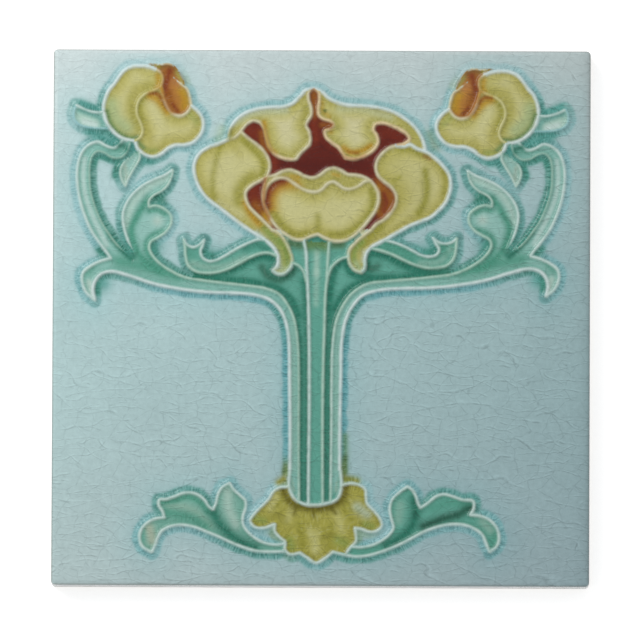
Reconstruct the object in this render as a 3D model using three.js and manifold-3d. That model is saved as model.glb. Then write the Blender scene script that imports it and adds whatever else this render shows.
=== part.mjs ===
// Art nouveau relief tile: one pressed and fired square tile with a flower, two buds and scrolling
// leaves raised on its face. Millimetres, +Z out of the glazed face, +Y to the top of the ornament.
// The origin is the centre of the back, which is the plane that the tile lies on.

import * as THREE from "three";
import { mergeVertices } from "three/addons/utils/BufferGeometryUtils.js";
import Module from "manifold-3d";

// Tile body
const TILE_WIDTH = 152.4;
const TILE_HEIGHT = 152.4;
const TILE_THICKNESS = 9.5;
const CORNER_RADIUS = 1.2;
const LEAST_CORNER_RADIUS = 0.36;
const FACE_EDGE_ROUNDING = 1.3;
const BACK_EDGE_CHAMFER = 0.6;
const CORNER_STEPS = 3;
const FACE_EDGE_STEPS = 3;

// Keying grooves pressed into the back and closed at both ends
const GROOVE_PITCH = 18;
const GROOVE_MOUTH_WIDTH = 7;
const GROOVE_FLOOR_WIDTH = 5.6;
const GROOVE_DEPTH = 1.2;
const GROOVE_SIDE_MARGIN = 12;
const GROOVE_END_MARGIN = 12;

// Relief heights above the ground of the face
const RIB_RISE = 0.9;
const PETAL_RISE = 0.5;
const LEAF_RISE = 0.4;
const CALYX_RISE = 0.35;
const HEART_RISE = 0.25;
const WEB_RISE = 0.18;

// Rib section: a low trapezoid that stands on the ground and reaches a little into it
const RIB_FOOT_WIDTH = 1.9;
const RIB_CREST_WIDTH = 0.7;
const RIB_SHARPEST_MITRE = 0.7;
const RELIEF_ROOT = 0.4;

// The lines below are drawn for a face of this size, and spread with the tile's own size
const DRAWN_WIDTH = 152.4;
const DRAWN_HEIGHT = 152.4;

// The stem's axis lies a little left of the tile's centre line
const STEM_AXIS_X = -1.65;

// The right half is the left one turned over, spread a little wider and sloping a little
const SPREAD = 2.85;
const SPREAD_START = 10;
const SPREAD_REACH = 17;
const SLOPE = 0.04;
const SLOPE_LEVEL = 43.6;
const SLOPE_START = 8.5;
const SLOPE_FULL = 14.2;

// Curve drawing
const CURVE_STEP = 0.35;
const CURVE_TOLERANCE = 0.12;
const WELD_DISTANCE = 1e-4;

// Lines of the left half that the right half repeats, as points in the plane of the face
const MIRRORED_LINES = {
  arm_lower_rib: [
    [-8.7, -43.4], [-8.7, -32], [-8.9, -17.7], [-9.2, -6.3], [-10.2, -0.9], [-11.9, 2.5], [-14.6, 4.9],
    [-18.9, 6.3], [-24.6, 6.8], [-31.7, 7], [-39.3, 7.8], [-47.3, 9.3], [-54.4, 11.6], [-59.5, 12.8],
    [-62.4, 12.1], [-64.1, 10.3], [-64.8, 7.7], [-64.2, 4.6],
  ],
  curl_edge: [
    [-59.8, 16.6], [-62.7, 15.7], [-65.5, 14.3], [-67.6, 12.4], [-67.8, 9.7], [-66.6, 6.8],
    [-64.2, 4.6],
  ],
  arm_upper_rib: [
    [-6.1, -52.8], [-6.2, -43.4], [-6.3, -29.2], [-6.3, -17.7], [-6.6, -7.7], [-7.6, -0.9], [-9.5, 3.4],
    [-12, 6.5], [-15.7, 8.1], [-20.9, 8.9], [-27.4, 9.6], [-33.1, 10.3], [-38.5, 11.2], [-43.6, 13.6],
    [-47, 16.3], [-48.8, 19.2], [-48.5, 21.2], [-46.5, 22.5], [-44.2, 24.1], [-42.7, 26.4],
    [-42.8, 28.9], [-44.8, 30.8], [-47.1, 31.6], [-49, 31.2],
  ],
  leaf_front_edge: [
    [-49, 31.2], [-49, 32.9], [-47.7, 34.5], [-45.4, 35.8], [-43.6, 37.6], [-42.6, 39.8], [-42.3, 41.8],
  ],
  leaf_back_edge: [
    [-42.3, 41.8], [-44.6, 40.3], [-47.7, 39], [-50.8, 37.3], [-53.7, 34.7], [-55.6, 31.7],
    [-56.4, 28.6], [-56, 25.2], [-54.9, 21.7], [-53.3, 18.6],
  ],
  side_stem_outer: [
    [-59.8, 16.6], [-61.4, 18.9], [-63.5, 21.7], [-65.5, 24.8], [-67.1, 28.5], [-68.4, 32.5],
    [-69.2, 36.8], [-69.4, 40.8], [-68.9, 44.5], [-67.6, 47.4], [-65.5, 49.2], [-63.4, 49.7],
    [-61.1, 48.5], [-59, 48], [-57.4, 49.1], [-56.3, 50.4],
  ],
  side_stem_inner: [
    [-54.3, 49.7], [-55.3, 46.9], [-57.3, 45.2], [-59.7, 45.4], [-61.9, 46.7], [-63.7, 47],
    [-65.1, 45.7], [-65.8, 43.4], [-65.9, 39.7], [-65.6, 35.7], [-64.4, 31.4], [-62.6, 27.1],
    [-60.4, 23.6], [-57.9, 20.3], [-55, 17.7],
  ],
  narrow_leaf_left: [
    [-54.3, 45.7], [-56.1, 43.9], [-57.1, 41.7], [-56.9, 39.4], [-55.7, 37.1],
  ],
  narrow_leaf_right: [
    [-51.9, 47.4], [-51.6, 45.4], [-52.6, 43.2], [-54.1, 40.7], [-55, 38.9], [-55.7, 37.1],
  ],
  tendril_top: [
    [-69.7, 60.1], [-67.7, 59.1], [-65.4, 58.3], [-63.4, 58.1], [-61.9, 58.4],
  ],
  tendril_edge: [
    [-69.7, 60.1], [-70.3, 58.5], [-70.3, 56.5], [-69.1, 54.8], [-66.8, 53.9], [-64.2, 53.6],
    [-61.1, 53.5],
  ],
  bud_left_edge: [
    [-46.8, 70.3], [-49, 71.1], [-51.2, 71.4], [-53.8, 71.2], [-56.1, 70.1], [-57.6, 68.4],
    [-58.9, 66.4], [-60.5, 64.5], [-61.5, 62.2], [-62, 59.7], [-61.7, 57.1], [-60.7, 54.5], [-59, 52.4],
    [-56.8, 50.8], [-54.6, 50.1], [-53, 50],
  ],
  bud_lower_edge: [
    [-53, 50], [-52.3, 47.9], [-50.4, 46.2], [-47.9, 45.5], [-45.6, 46.3], [-43.6, 47.9], [-41.5, 48.8],
    [-38.9, 48.9], [-36.5, 49.7], [-34.7, 51.5], [-33.7, 53.9], [-33.9, 56.5], [-35.3, 58.6],
    [-37.1, 60.1],
  ],
  bud_fold: [
    [-45.7, 65.4], [-47.8, 64.4], [-50.2, 63.4], [-51.8, 61.9], [-52.6, 59.7], [-52.5, 57.4],
    [-51.5, 55.1], [-50.9, 52.9], [-51.6, 51], [-53, 50],
  ],
  bud_flame_edge: [
    [-49, 72.1], [-46.1, 72.2], [-43.3, 72.7], [-41.4, 71.7], [-40.4, 69.9], [-39.4, 67.9],
  ],
  bud_flame_inner: [
    [-46.8, 70.3], [-45.6, 69.2], [-45.3, 67.4], [-45.7, 65.4],
  ],
  bud_lobe_outer: [
    [-42.1, 68.5], [-40.4, 66.8], [-38.6, 65], [-37.6, 62.8], [-37.1, 60.1],
  ],
  bud_lobe_inner: [
    [-37.1, 60.1], [-38.3, 58.2], [-40.1, 57.2], [-42, 57.6], [-43.4, 59], [-44.7, 61.7], [-45.7, 65.4],
  ],
};

// Lines that only the left half has
const LEFT_LINES = {
  small_leaf_lower: [
    [-39, 21.9], [-38.7, 19.8], [-38.5, 17.2], [-37.8, 14.7], [-35.7, 13], [-32.8, 12.5], [-29.4, 12.8],
    [-26, 13.9], [-22.3, 15.9], [-18.6, 17.7], [-15.2, 18.3], [-12.5, 17.3],
  ],
  small_leaf_tip: [
    [-39, 21.9], [-38.1, 20.5], [-36.5, 19.8], [-34.8, 20.4], [-33.3, 21.9],
  ],
  small_leaf_upper: [
    [-33.3, 21.9], [-33.7, 20.3], [-34.3, 18.7], [-33.8, 17], [-32.1, 15.9], [-30, 16.1], [-27.4, 17.4],
    [-24.3, 19.3], [-20.9, 21], [-17.8, 22.1], [-15.7, 21.8],
  ],
  base_lower_edge: [
    [-10.3, -66.6], [-14.3, -66.7], [-18, -66.5], [-21.4, -65.6], [-24.8, -64.3], [-28.5, -62.6],
    [-31.9, -61.2], [-35.6, -59.8], [-39.3, -59.2], [-42.5, -59.6], [-44.9, -60.9], [-46.1, -62.9],
    [-46.8, -65], [-47.7, -67],
  ],
  base_curl_edge: [
    [-44.2, -57.1], [-46.6, -57.4], [-48.9, -58.5], [-50.6, -60.3], [-51.2, -62.7], [-50.5, -65.2],
    [-47.7, -67],
  ],
  base_lobe: [
    [-44.2, -57.1], [-44.8, -55.3], [-45.8, -53.6], [-45.6, -52], [-43.8, -51.9], [-41.4, -51.1],
    [-39.1, -50.2], [-36.8, -50], [-34.5, -50.7], [-32.7, -52.2], [-31.7, -53.8], [-30.4, -54.8],
  ],
  base_point: [
    [-30.4, -54.8], [-29.6, -52.9], [-29.1, -50.7], [-27.9, -48.5], [-25.7, -47.2],
  ],
  base_upper_edge: [
    [-25.7, -47.2], [-24.7, -48.9], [-22.9, -50.6], [-21.3, -52.2], [-21.2, -54.3], [-21.9, -56.5],
    [-21.9, -58.9], [-20.4, -61.2], [-18, -63.1], [-15, -64.4], [-12, -64.7], [-10, -64.4],
  ],
};

// Lines that only the right half has
const RIGHT_LINES = {
  small_leaf_lower_right: [
    [38.3, 22.6], [38.1, 19.6], [37.4, 16.8], [35.7, 15], [32.5, 14.2], [29.4, 14.3], [26.3, 15.1],
    [22.9, 16.6], [19.7, 18.1], [16.6, 19.1], [13.9, 19.7],
  ],
  small_leaf_tip_right: [
    [38.3, 22.6], [37.1, 21.6], [35.1, 21.1], [33.2, 21.5], [31.6, 22.7],
  ],
  small_leaf_upper_right: [
    [31.6, 22.7], [32.5, 21], [33.3, 19.4], [32.7, 18], [30.8, 17.4], [28.5, 17.7], [25.7, 19.1],
    [23.1, 20.4], [20.4, 21.4], [17.7, 22],
  ],
  base_lower_right: [
    [3.6, -66.7], [7, -67.5], [10.7, -68], [14.1, -67.5], [17.8, -66.4], [21.5, -64.9], [25.5, -62.9],
    [29.4, -60.8], [33.4, -59.4], [37.4, -58.7], [40.8, -58.9], [43.6, -59.9], [45.8, -61.6],
    [46.9, -64], [47.9, -66.5],
  ],
  base_curl_right: [
    [42.5, -56], [45.3, -56.3], [48, -57.5], [49.9, -59.7], [50.6, -62.6], [49.9, -65], [47.9, -66.5],
  ],
  base_lobe_right: [
    [42.5, -56], [43.4, -54.1], [43.2, -52.1], [40.2, -51.7], [37.5, -50.8], [34.9, -50.2],
    [32.7, -50.8], [30.5, -52.6], [28.3, -54.1],
  ],
  base_point_right: [
    [28.3, -54.1], [27.6, -52.7], [27.1, -51], [26.1, -49.1], [24.6, -48],
  ],
  base_upper_right: [
    [24.6, -48], [22.7, -49.4], [20.4, -51.6], [19.6, -54.2], [20, -57], [20.7, -59.7], [19.5, -61.7],
    [17.2, -63.5], [14.4, -64.8], [11.7, -65.3], [9, -65.2],
  ],
};

// Lines of the stem, the calyx and the open flower
const CENTRE_LINES = {
  stem_foot: [
    [-8.7, -43.4], [-9, -48.6], [-7.5, -52], [-4.7, -53.6], [-1.3, -53.9], [1.8, -53.4], [4.7, -52.1],
    [6, -48.5], [5.6, -43.4],
  ],
  flute_rib_left: [
    [-3.4, -52.8], [-3.4, -43.4], [-3.3, -32], [-3.3, -17.7], [-3.4, -6.3], [-3.6, 2.3], [-3.9, 9.4],
    [-4.2, 14.2], [-4.3, 18], [-5, 21.9],
  ],
  flute_branch_left: [
    [-8.5, 15.5], [-6.5, 14.7], [-5.1, 13.1], [-4.2, 10.2],
  ],
  flute_rib_right: [
    [0.6, -52.8], [0.5, -32], [0.6, -14.9], [0.9, -3.4], [1.1, 5.1], [1.5, 10.8], [1.8, 16],
    [2.1, 21.1],
  ],
  flute_branch_right: [
    [7.7, 17.4], [5.1, 16.4], [3.1, 14.6], [2, 12.3], [1.4, 9.4],
  ],
  calyx_left: [
    [-9, -48.3], [-11.4, -48.4], [-13.4, -49.7], [-14.8, -51.9], [-16.8, -53.9], [-18.7, -55.9],
    [-19.9, -57.9], [-18.7, -59.6], [-16.2, -60], [-12.9, -58.9],
  ],
  calyx_left_low: [
    [-12.9, -58.9], [-12.9, -60.9], [-11.5, -62.6], [-10, -63.9], [-10, -66], [-8.6, -67.4],
    [-5.8, -67],
  ],
  calyx_tip: [
    [-5.8, -67], [-3.8, -68.3], [-1.2, -69.8], [1.1, -68.7], [3.6, -66.7],
  ],
  calyx_right_low: [
    [9.8, -59.9], [10.1, -61.9], [10.1, -63.6], [8.4, -65.5], [7.3, -67.1],
  ],
  calyx_right: [
    [6.1, -47.7], [8.4, -47.2], [10.8, -47.6], [12.7, -48.9], [12.9, -50.8], [13.2, -52.8], [15.2, -55],
    [16.9, -57.2], [17.4, -59.2], [15.9, -60.7], [13.7, -60.9], [11.5, -60.1], [9.8, -59.9],
  ],
  heart_left_arm: [
    [-3.6, 49.1], [-5.3, 47.5], [-6.5, 46.3], [-7.4, 45.1], [-9.7, 45], [-11.9, 45.6], [-13.9, 46.9],
    [-15.2, 48.9], [-15.9, 51.3], [-16.4, 53.6], [-17.5, 55.3], [-19.4, 55.9], [-21.3, 55],
    [-23.1, 52.8],
  ],
  heart_left_low: [
    [-23.1, 52.8], [-21, 51], [-18.8, 49.4], [-16.8, 47.6], [-15.3, 45.3], [-14.8, 42.7], [-15.5, 39.9],
  ],
  stalk_left: [
    [-3.6, 49.1], [-3.3, 50.9], [-3.7, 52.9], [-4.5, 54.5], [-4, 56.1], [-3.1, 57.5], [-3.2, 59.9],
    [-3.9, 62.2], [-3.7, 64.2], [-2.3, 65.1],
  ],
  stalk_right: [
    [-2.3, 65.1], [-1, 64.1], [-0.8, 61.9], [-1.1, 59.6], [-0.9, 57.6], [0.5, 56.4], [2.4, 55.8],
    [3.3, 54.7], [2.2, 53.7], [0.9, 53.2], [1.1, 51.4], [2.7, 49.8], [4.7, 48.4], [5.8, 46.8],
    [6.7, 45.5],
  ],
  heart_right_arm: [
    [6.7, 45.5], [9.1, 45.1], [11.5, 45.8], [13.6, 46.9], [15.1, 48.3], [15.9, 50.1], [15.5, 51.9],
    [14.6, 53.4], [15.1, 55], [17.3, 55.4], [19.9, 54.6], [22.1, 53.6], [24, 52.3], [24.8, 50.8],
    [23.3, 49.5], [21, 48.9],
  ],
  lower_petal_top: [
    [-15.5, 39.9], [-13.3, 40.4], [-11.1, 41.5], [-8.9, 41.9], [-6.8, 41.2], [-4.7, 40.1], [-2.5, 39.7],
    [-0.5, 40.5], [1.4, 42], [3.4, 42.5], [5.4, 41.8], [7.4, 40.7], [10, 40.5], [12.5, 39.7],
    [14.5, 38.2], [16, 35.7],
  ],
  lower_petal_right: [
    [16, 35.7], [16.1, 33.2], [15.3, 30.6], [13.7, 28.2], [11.6, 25.6], [9.2, 23.3], [6.5, 21.9],
    [3.5, 21.7], [1.1, 22.5], [-1, 23.6],
  ],
  lower_petal_left: [
    [-1, 23.6], [-3.2, 23], [-5.3, 22.1], [-7.7, 22.2], [-10, 23.4], [-12.3, 25.2], [-14.3, 27.8],
    [-15.8, 30.6], [-16.7, 33.6], [-16.5, 36.6], [-15.5, 39.9],
  ],
  lower_petal_frill: [
    [-16.4, 33.6], [-16, 36.2], [-14.6, 38.3], [-12.6, 39.5], [-10.3, 39.5], [-8.2, 38.3], [-6.2, 36.9],
    [-3.9, 35.9], [-1.7, 35.7], [0, 36.4], [1.5, 38], [3.2, 38.6], [4.7, 37.8], [6.4, 36.7],
    [8.4, 36.6], [10.4, 37.4], [12.3, 38.7], [14, 38.9],
  ],
  left_petal_inner: [
    [-15.5, 39.9], [-17.9, 38.6], [-20.1, 37.3], [-21.5, 35.7], [-21.5, 33.6], [-20.5, 31.4],
    [-18.7, 29.5], [-16.4, 27.3], [-14, 24.8],
  ],
  left_petal_throat: [
    [-14, 24.8], [-11.8, 22.2], [-10.1, 19.6], [-8.8, 17.2], [-8.5, 15.4],
  ],
  left_petal_outer: [
    [-26.3, 50.8], [-29, 49.5], [-32.1, 48.4], [-34.5, 46.8], [-36, 44.4], [-36.3, 41.5], [-35.5, 38.4],
    [-33.9, 35.4], [-31.8, 33.1], [-28.9, 31], [-26.1, 28.8], [-23.2, 26.6], [-20.4, 24.7], [-17.7, 23],
    [-15.1, 21.2], [-13.2, 19.1], [-12.3, 16.6], [-12.6, 14.6], [-13.8, 13.2],
  ],
  left_petal_hook: [
    [-13.8, 13.2], [-11.9, 12.5], [-9.9, 13.4], [-8.5, 15.4],
  ],
  upper_left_petal: [
    [-2.3, 65.1], [-4.8, 64.6], [-6.3, 62.9], [-8.3, 61], [-10.8, 60], [-14.3, 59.8], [-17.7, 59.4],
    [-21.1, 58.4], [-23.8, 56.7], [-25.7, 54.4], [-26.3, 52.5], [-26.3, 50.8],
  ],
  upper_left_link: [
    [-26.3, 50.8], [-24.7, 51.2], [-23.1, 52.8],
  ],
  upper_right_petal: [
    [-2.3, 65.1], [-0.1, 64.2], [1.8, 62.5], [4.2, 61.3], [7.3, 60.5], [11, 60.3], [14.7, 60],
    [18.4, 59.2], [21.6, 57.9], [24.4, 56], [26.7, 53.8], [28.3, 51.3], [29.1, 48.9], [29.3, 47.5],
  ],
  right_petal_outer: [
    [21, 48.9], [23.2, 48.8], [24.9, 49.2], [27, 48.1], [29.8, 47.1], [32.4, 45.2], [34.5, 43.1],
    [36.1, 40.7], [36.6, 37.8], [36.1, 35], [34.9, 32.4], [32.9, 30.2], [30.8, 28.5], [28.1, 27.4],
    [25.1, 26.2], [22.3, 24.6], [19.3, 22.9], [16.4, 21.3], [13.9, 19.9], [12.6, 17.7], [12.8, 15.3],
    [11.8, 13], [10.4, 12.4],
  ],
  right_petal_inner: [
    [21, 48.9], [18.9, 48.2], [17.1, 46.7], [15.7, 44.7], [15.3, 42.4], [16.1, 40.2], [17.8, 38.6],
    [19.8, 36.9], [21.1, 34.6], [20.8, 32], [19.5, 29.8], [17.7, 27.9], [15.6, 26.7], [14, 24.9],
  ],
  right_petal_throat: [
    [14, 24.9], [11.8, 23.3], [9.8, 21.3], [8.3, 19], [7.9, 16.6], [8.7, 14.3], [10.4, 12.4],
  ],
};

// Outline of the low web that fills the fork between the stem and the arms
const WEB_OUTLINE = [
  [-6.3, -53], [-6.4, -10], [-7.4, -1.5], [-10.5, 5.2], [-16, 8.3], [-27, 9.8], [-33, 11.5],
  [-26, 13.5], [-15, 18], [-11, 21], [-6, 24], [4, 24], [10, 21], [15, 19.5], [26, 14.8],
  [31, 13.5], [24, 11.8], [14.5, 10], [8.5, 6.2], [4.4, -1.5], [3, -10], [3, -53],
];

// Raised fields: each is a closed run of lines, with "-" before a line that is followed backwards
const MIRRORED_FIELDS = [
  {
    rise: LEAF_RISE,
    run: [
      "arm_lower_rib", "-curl_edge", "side_stem_outer", "side_stem_inner", "-leaf_back_edge",
      "-leaf_front_edge", "-arm_upper_rib",
    ],
  },
  { rise: LEAF_RISE, run: ["narrow_leaf_left", "-narrow_leaf_right"] },
  { rise: LEAF_RISE, run: ["tendril_top", "-tendril_edge"] },
  { rise: PETAL_RISE, run: ["bud_left_edge", "-bud_fold", "-bud_flame_inner"] },
  { rise: PETAL_RISE, run: ["bud_lower_edge", "bud_lobe_inner", "bud_fold"] },
  { rise: PETAL_RISE, run: ["bud_lobe_outer", "bud_lobe_inner", "-bud_flame_inner", "bud_flame_edge"] },
];
const LEFT_FIELDS = [
  { rise: LEAF_RISE, run: ["small_leaf_tip", "small_leaf_upper", "-small_leaf_lower"] },
  {
    rise: LEAF_RISE,
    run: ["base_lower_edge", "-base_curl_edge", "base_lobe", "base_point", "base_upper_edge"],
  },
];
const RIGHT_FIELDS = [
  { rise: LEAF_RISE, run: ["small_leaf_tip_right", "small_leaf_upper_right", "-small_leaf_lower_right"] },
  {
    rise: LEAF_RISE,
    run: [
      "base_lower_right", "-base_curl_right", "base_lobe_right", "base_point_right",
      "base_upper_right",
    ],
  },
];
const CENTRE_FIELDS = [
  {
    rise: CALYX_RISE,
    run: ["calyx_left", "calyx_left_low", "calyx_tip", "-calyx_right_low", "-calyx_right"],
  },
  {
    rise: HEART_RISE,
    run: [
      "stalk_right", "heart_right_arm", "right_petal_inner", "-left_petal_inner",
      "-heart_left_low", "-heart_left_arm", "stalk_left",
    ],
  },
  { rise: PETAL_RISE, run: ["upper_left_petal", "upper_left_link", "-heart_left_arm", "stalk_left"] },
  { rise: PETAL_RISE, run: ["upper_right_petal", "-heart_right_arm", "-stalk_right"] },
  {
    rise: PETAL_RISE,
    run: [
      "left_petal_outer", "left_petal_hook", "-left_petal_throat", "-left_petal_inner",
      "-heart_left_low", "-upper_left_link",
    ],
  },
  { rise: PETAL_RISE, run: ["right_petal_outer", "-right_petal_throat", "-right_petal_inner"] },
  { rise: PETAL_RISE, run: ["lower_petal_top", "lower_petal_right", "lower_petal_left"] },
];

const wasm = await Module();
wasm.setup();

// A closed three.js geometry becomes a solid that can be joined and cut
function solidFrom(geometry) {
  const bare = geometry.index ? geometry : geometry.clone();
  bare.deleteAttribute("normal");
  bare.deleteAttribute("uv");
  const merged = mergeVertices(bare, WELD_DISTANCE);
  const mesh = new wasm.Mesh({
    numProp: 3,
    vertProperties: new Float32Array(merged.attributes.position.array),
    triVerts: new Uint32Array(merged.index.array),
  });
  return new wasm.Manifold(mesh);
}

function geometryFrom(solid) {
  const mesh = solid.getMesh();
  const geometry = new THREE.BufferGeometry();
  const positions = new Float32Array(mesh.vertProperties);
  geometry.setAttribute("position", new THREE.BufferAttribute(positions, 3));
  geometry.setIndex(new THREE.BufferAttribute(new Uint32Array(mesh.triVerts), 1));
  geometry.computeVertexNormals();
  return geometry;
}

// Joins neighbours first, so that no join has to carry the whole ornament
function joinAll(solids) {
  let parts = solids;
  while (parts.length > 1) {
    const joined = [];
    for (let i = 0; i < parts.length; i += 2) {
      joined.push(i + 1 < parts.length ? parts[i].add(parts[i + 1]) : parts[i]);
    }
    parts = joined;
  }
  return parts[0];
}

// A solid between rings of equally many points, each ring going round anticlockwise seen from above
function loft(rings) {
  const count = rings[0].length;
  const positions = rings.flat().flat();
  const index = [];
  for (let r = 0; r + 1 < rings.length; r++) {
    for (let i = 0; i < count; i++) {
      const a = r * count + i;
      const b = r * count + (i + 1) % count;
      index.push(a, b, b + count, a, b + count, a + count);
    }
  }
  const outline = rings[0].map(([x, y]) => new THREE.Vector2(x, y));
  const last = (rings.length - 1) * count;
  for (const [a, b, c] of THREE.ShapeUtils.triangulateShape(outline, [])) {
    index.push(a, c, b, last + a, last + b, last + c);
  }
  const geometry = new THREE.BufferGeometry();
  geometry.setAttribute("position", new THREE.Float32BufferAttribute(positions, 3));
  geometry.setIndex(index);
  return geometry;
}

// The tile's outline at one height, drawn in by an inset
function tileRing(inset, z) {
  const ring = [];
  const r = Math.max(CORNER_RADIUS - inset, LEAST_CORNER_RADIUS);
  for (let corner = 0; corner < 4; corner++) {
    const sx = corner === 0 || corner === 3 ? 1 : -1;
    const sy = corner < 2 ? 1 : -1;
    const cx = sx * (TILE_WIDTH / 2 - inset - r);
    const cy = sy * (TILE_HEIGHT / 2 - inset - r);
    for (let i = 0; i <= CORNER_STEPS; i++) {
      const angle = (corner + i / CORNER_STEPS) * Math.PI / 2;
      ring.push([cx + r * Math.cos(angle), cy + r * Math.sin(angle), z]);
    }
  }
  return ring;
}

function tileBody() {
  const rings = [tileRing(BACK_EDGE_CHAMFER, 0), tileRing(0, BACK_EDGE_CHAMFER)];
  for (let i = 0; i <= FACE_EDGE_STEPS; i++) {
    const angle = i / FACE_EDGE_STEPS * Math.PI / 2;
    const inset = FACE_EDGE_ROUNDING * (1 - Math.cos(angle));
    rings.push(tileRing(inset, TILE_THICKNESS - FACE_EDGE_ROUNDING * (1 - Math.sin(angle))));
  }
  return solidFrom(loft(rings));
}

function backGroove(x) {
  const length = TILE_HEIGHT - 2 * GROOVE_END_MARGIN;
  const draft = (GROOVE_MOUTH_WIDTH - GROOVE_FLOOR_WIDTH) / 2;
  const ring = (inset, z) => {
    const w = GROOVE_MOUTH_WIDTH / 2 - inset;
    const l = length / 2 - inset;
    return [[x + w, l, z], [x - w, l, z], [x - w, -l, z], [x + w, -l, z]];
  };
  return solidFrom(loft([ring(-draft, -GROOVE_DEPTH), ring(draft, GROOVE_DEPTH)]));
}

// As many grooves as fit between the side margins, spaced evenly about the middle
function backGrooves() {
  const room = TILE_WIDTH - 2 * GROOVE_SIDE_MARGIN - GROOVE_MOUTH_WIDTH;
  const count = Math.floor(room / GROOVE_PITCH) + 1;
  const grooves = [];
  for (let i = 0; i < count; i++) {
    grooves.push(backGroove((i - (count - 1) / 2) * GROOVE_PITCH));
  }
  return joinAll(grooves);
}

// Places a point of the left half on the right half
function mirrored([x, y]) {
  const reach = STEM_AXIS_X - x;
  const out = SPREAD * (1 - Math.exp(-Math.max(reach - SPREAD_START, 0) / SPREAD_REACH));
  const lift = THREE.MathUtils.smoothstep(reach, SLOPE_START, SLOPE_FULL);
  return [STEM_AXIS_X + reach + out, y + SLOPE * (SLOPE_LEVEL - y) * lift];
}

// Spreads a drawn point over the tile's own face
function onFace([x, y]) {
  return new THREE.Vector3(x * TILE_WIDTH / DRAWN_WIDTH, y * TILE_HEIGHT / DRAWN_HEIGHT, 0);
}

// Drops the points of a fine curve that lie within the tolerance of the line between their neighbours
function thinned(points, tolerance) {
  if (points.length < 3) return points;
  const first = points[0];
  const last = points[points.length - 1];
  const chord = new THREE.Line3(first, last);
  const nearest = new THREE.Vector3();
  let worst = 0;
  let split = 0;
  for (let i = 1; i < points.length - 1; i++) {
    const gap = chord.closestPointToPoint(points[i], true, nearest).distanceTo(points[i]);
    if (gap > worst) {
      worst = gap;
      split = i;
    }
  }
  if (worst <= tolerance) return [first, last];
  const head = thinned(points.slice(0, split + 1), tolerance);
  const tail = thinned(points.slice(split), tolerance);
  return head.concat(tail.slice(1));
}

// A smooth curve through the points of a line
function smoothLine(points) {
  const curve = new THREE.CatmullRomCurve3(points.map(onFace), false, "centripetal");
  const steps = Math.ceil(curve.getLength() / CURVE_STEP);
  return thinned(curve.getSpacedPoints(steps), CURVE_TOLERANCE);
}

// A rib along a line: one section at each point, square to the line there
function rib(line) {
  const low = TILE_THICKNESS - RELIEF_ROOT;
  const high = TILE_THICKNESS + RIB_RISE;
  const slope = (RIB_FOOT_WIDTH - RIB_CREST_WIDTH) / 2 / RIB_RISE;
  const root = RIB_FOOT_WIDTH / 2 + slope * RELIEF_ROOT;
  const crest = RIB_CREST_WIDTH / 2;
  const positions = [];
  const index = [];
  line.forEach((p, i) => {
    const before = line[Math.max(i - 1, 0)];
    const after = line[Math.min(i + 1, line.length - 1)];
    const into = p.clone().sub(before).normalize();
    const out = after.clone().sub(p).normalize();
    const along = into.clone().add(out).normalize();
    const stretch = 1 / Math.max(into.dot(along), out.dot(along), RIB_SHARPEST_MITRE);
    const side = new THREE.Vector3(-along.y, along.x, 0).multiplyScalar(stretch);
    for (const [offset, z] of [[-root, low], [root, low], [crest, high], [-crest, high]]) {
      positions.push(p.x + side.x * offset, p.y + side.y * offset, z);
    }
  });
  for (let i = 0; i + 1 < line.length; i++) {
    for (let k = 0; k < 4; k++) {
      const a = 4 * i + k;
      const b = 4 * i + (k + 1) % 4;
      index.push(a, b, b + 4, a, b + 4, a + 4);
    }
  }
  const end = 4 * (line.length - 1);
  index.push(0, 2, 1, 0, 3, 2, end, end + 1, end + 2, end, end + 2, end + 3);
  const geometry = new THREE.BufferGeometry();
  geometry.setAttribute("position", new THREE.Float32BufferAttribute(positions, 3));
  geometry.setIndex(index);
  return solidFrom(geometry);
}

// A flat raised field inside a closed outline
function field(outline, rise) {
  const shape = new THREE.Shape(outline.map((p) => new THREE.Vector2(p.x, p.y)));
  const geometry = new THREE.ExtrudeGeometry(shape, { depth: RELIEF_ROOT + rise, bevelEnabled: false });
  geometry.translate(0, 0, TILE_THICKNESS - RELIEF_ROOT);
  return solidFrom(geometry);
}

function closedRun(lines, run) {
  const outline = [];
  for (const entry of run) {
    const backwards = entry.startsWith("-");
    const line = lines[backwards ? entry.slice(1) : entry];
    const points = backwards ? [...line].reverse() : line;
    for (const p of points) {
      const last = outline[outline.length - 1];
      if (!last || last.distanceTo(p) > CURVE_TOLERANCE) outline.push(p);
    }
  }
  if (outline[0].distanceTo(outline[outline.length - 1]) <= CURVE_TOLERANCE) outline.pop();
  return outline;
}

function smoothAll(lines, place = (p) => p) {
  const entries = Object.entries(lines);
  return Object.fromEntries(entries.map(([name, points]) => [name, smoothLine(points.map(place))]));
}

// One side or the middle of the ornament: its ribs and its raised fields
function relief(lines, fields) {
  const ribs = Object.values(lines).map(rib);
  const raised = fields.map(({ rise, run }) => field(closedRun(lines, run), rise));
  return joinAll([...ribs, ...raised]);
}

function ornament() {
  const web = field(smoothLine([...WEB_OUTLINE, WEB_OUTLINE[0]]).slice(0, -1), WEB_RISE);
  return joinAll([
    relief(smoothAll(MIRRORED_LINES), MIRRORED_FIELDS),
    relief(smoothAll(MIRRORED_LINES, mirrored), MIRRORED_FIELDS),
    relief(smoothAll(LEFT_LINES), LEFT_FIELDS),
    relief(smoothAll(RIGHT_LINES), RIGHT_FIELDS),
    relief(smoothAll(CENTRE_LINES), CENTRE_FIELDS),
    web,
  ]);
}

const glaze = new THREE.MeshStandardMaterial({ color: 0xa9cdd0, roughness: 0.18, metalness: 0 });
const tile = new THREE.Mesh(geometryFrom(tileBody().add(ornament()).subtract(backGrooves())), glaze);
tile.name = "tile";

const object = new THREE.Group();
object.add(tile);

export default object;
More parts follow.
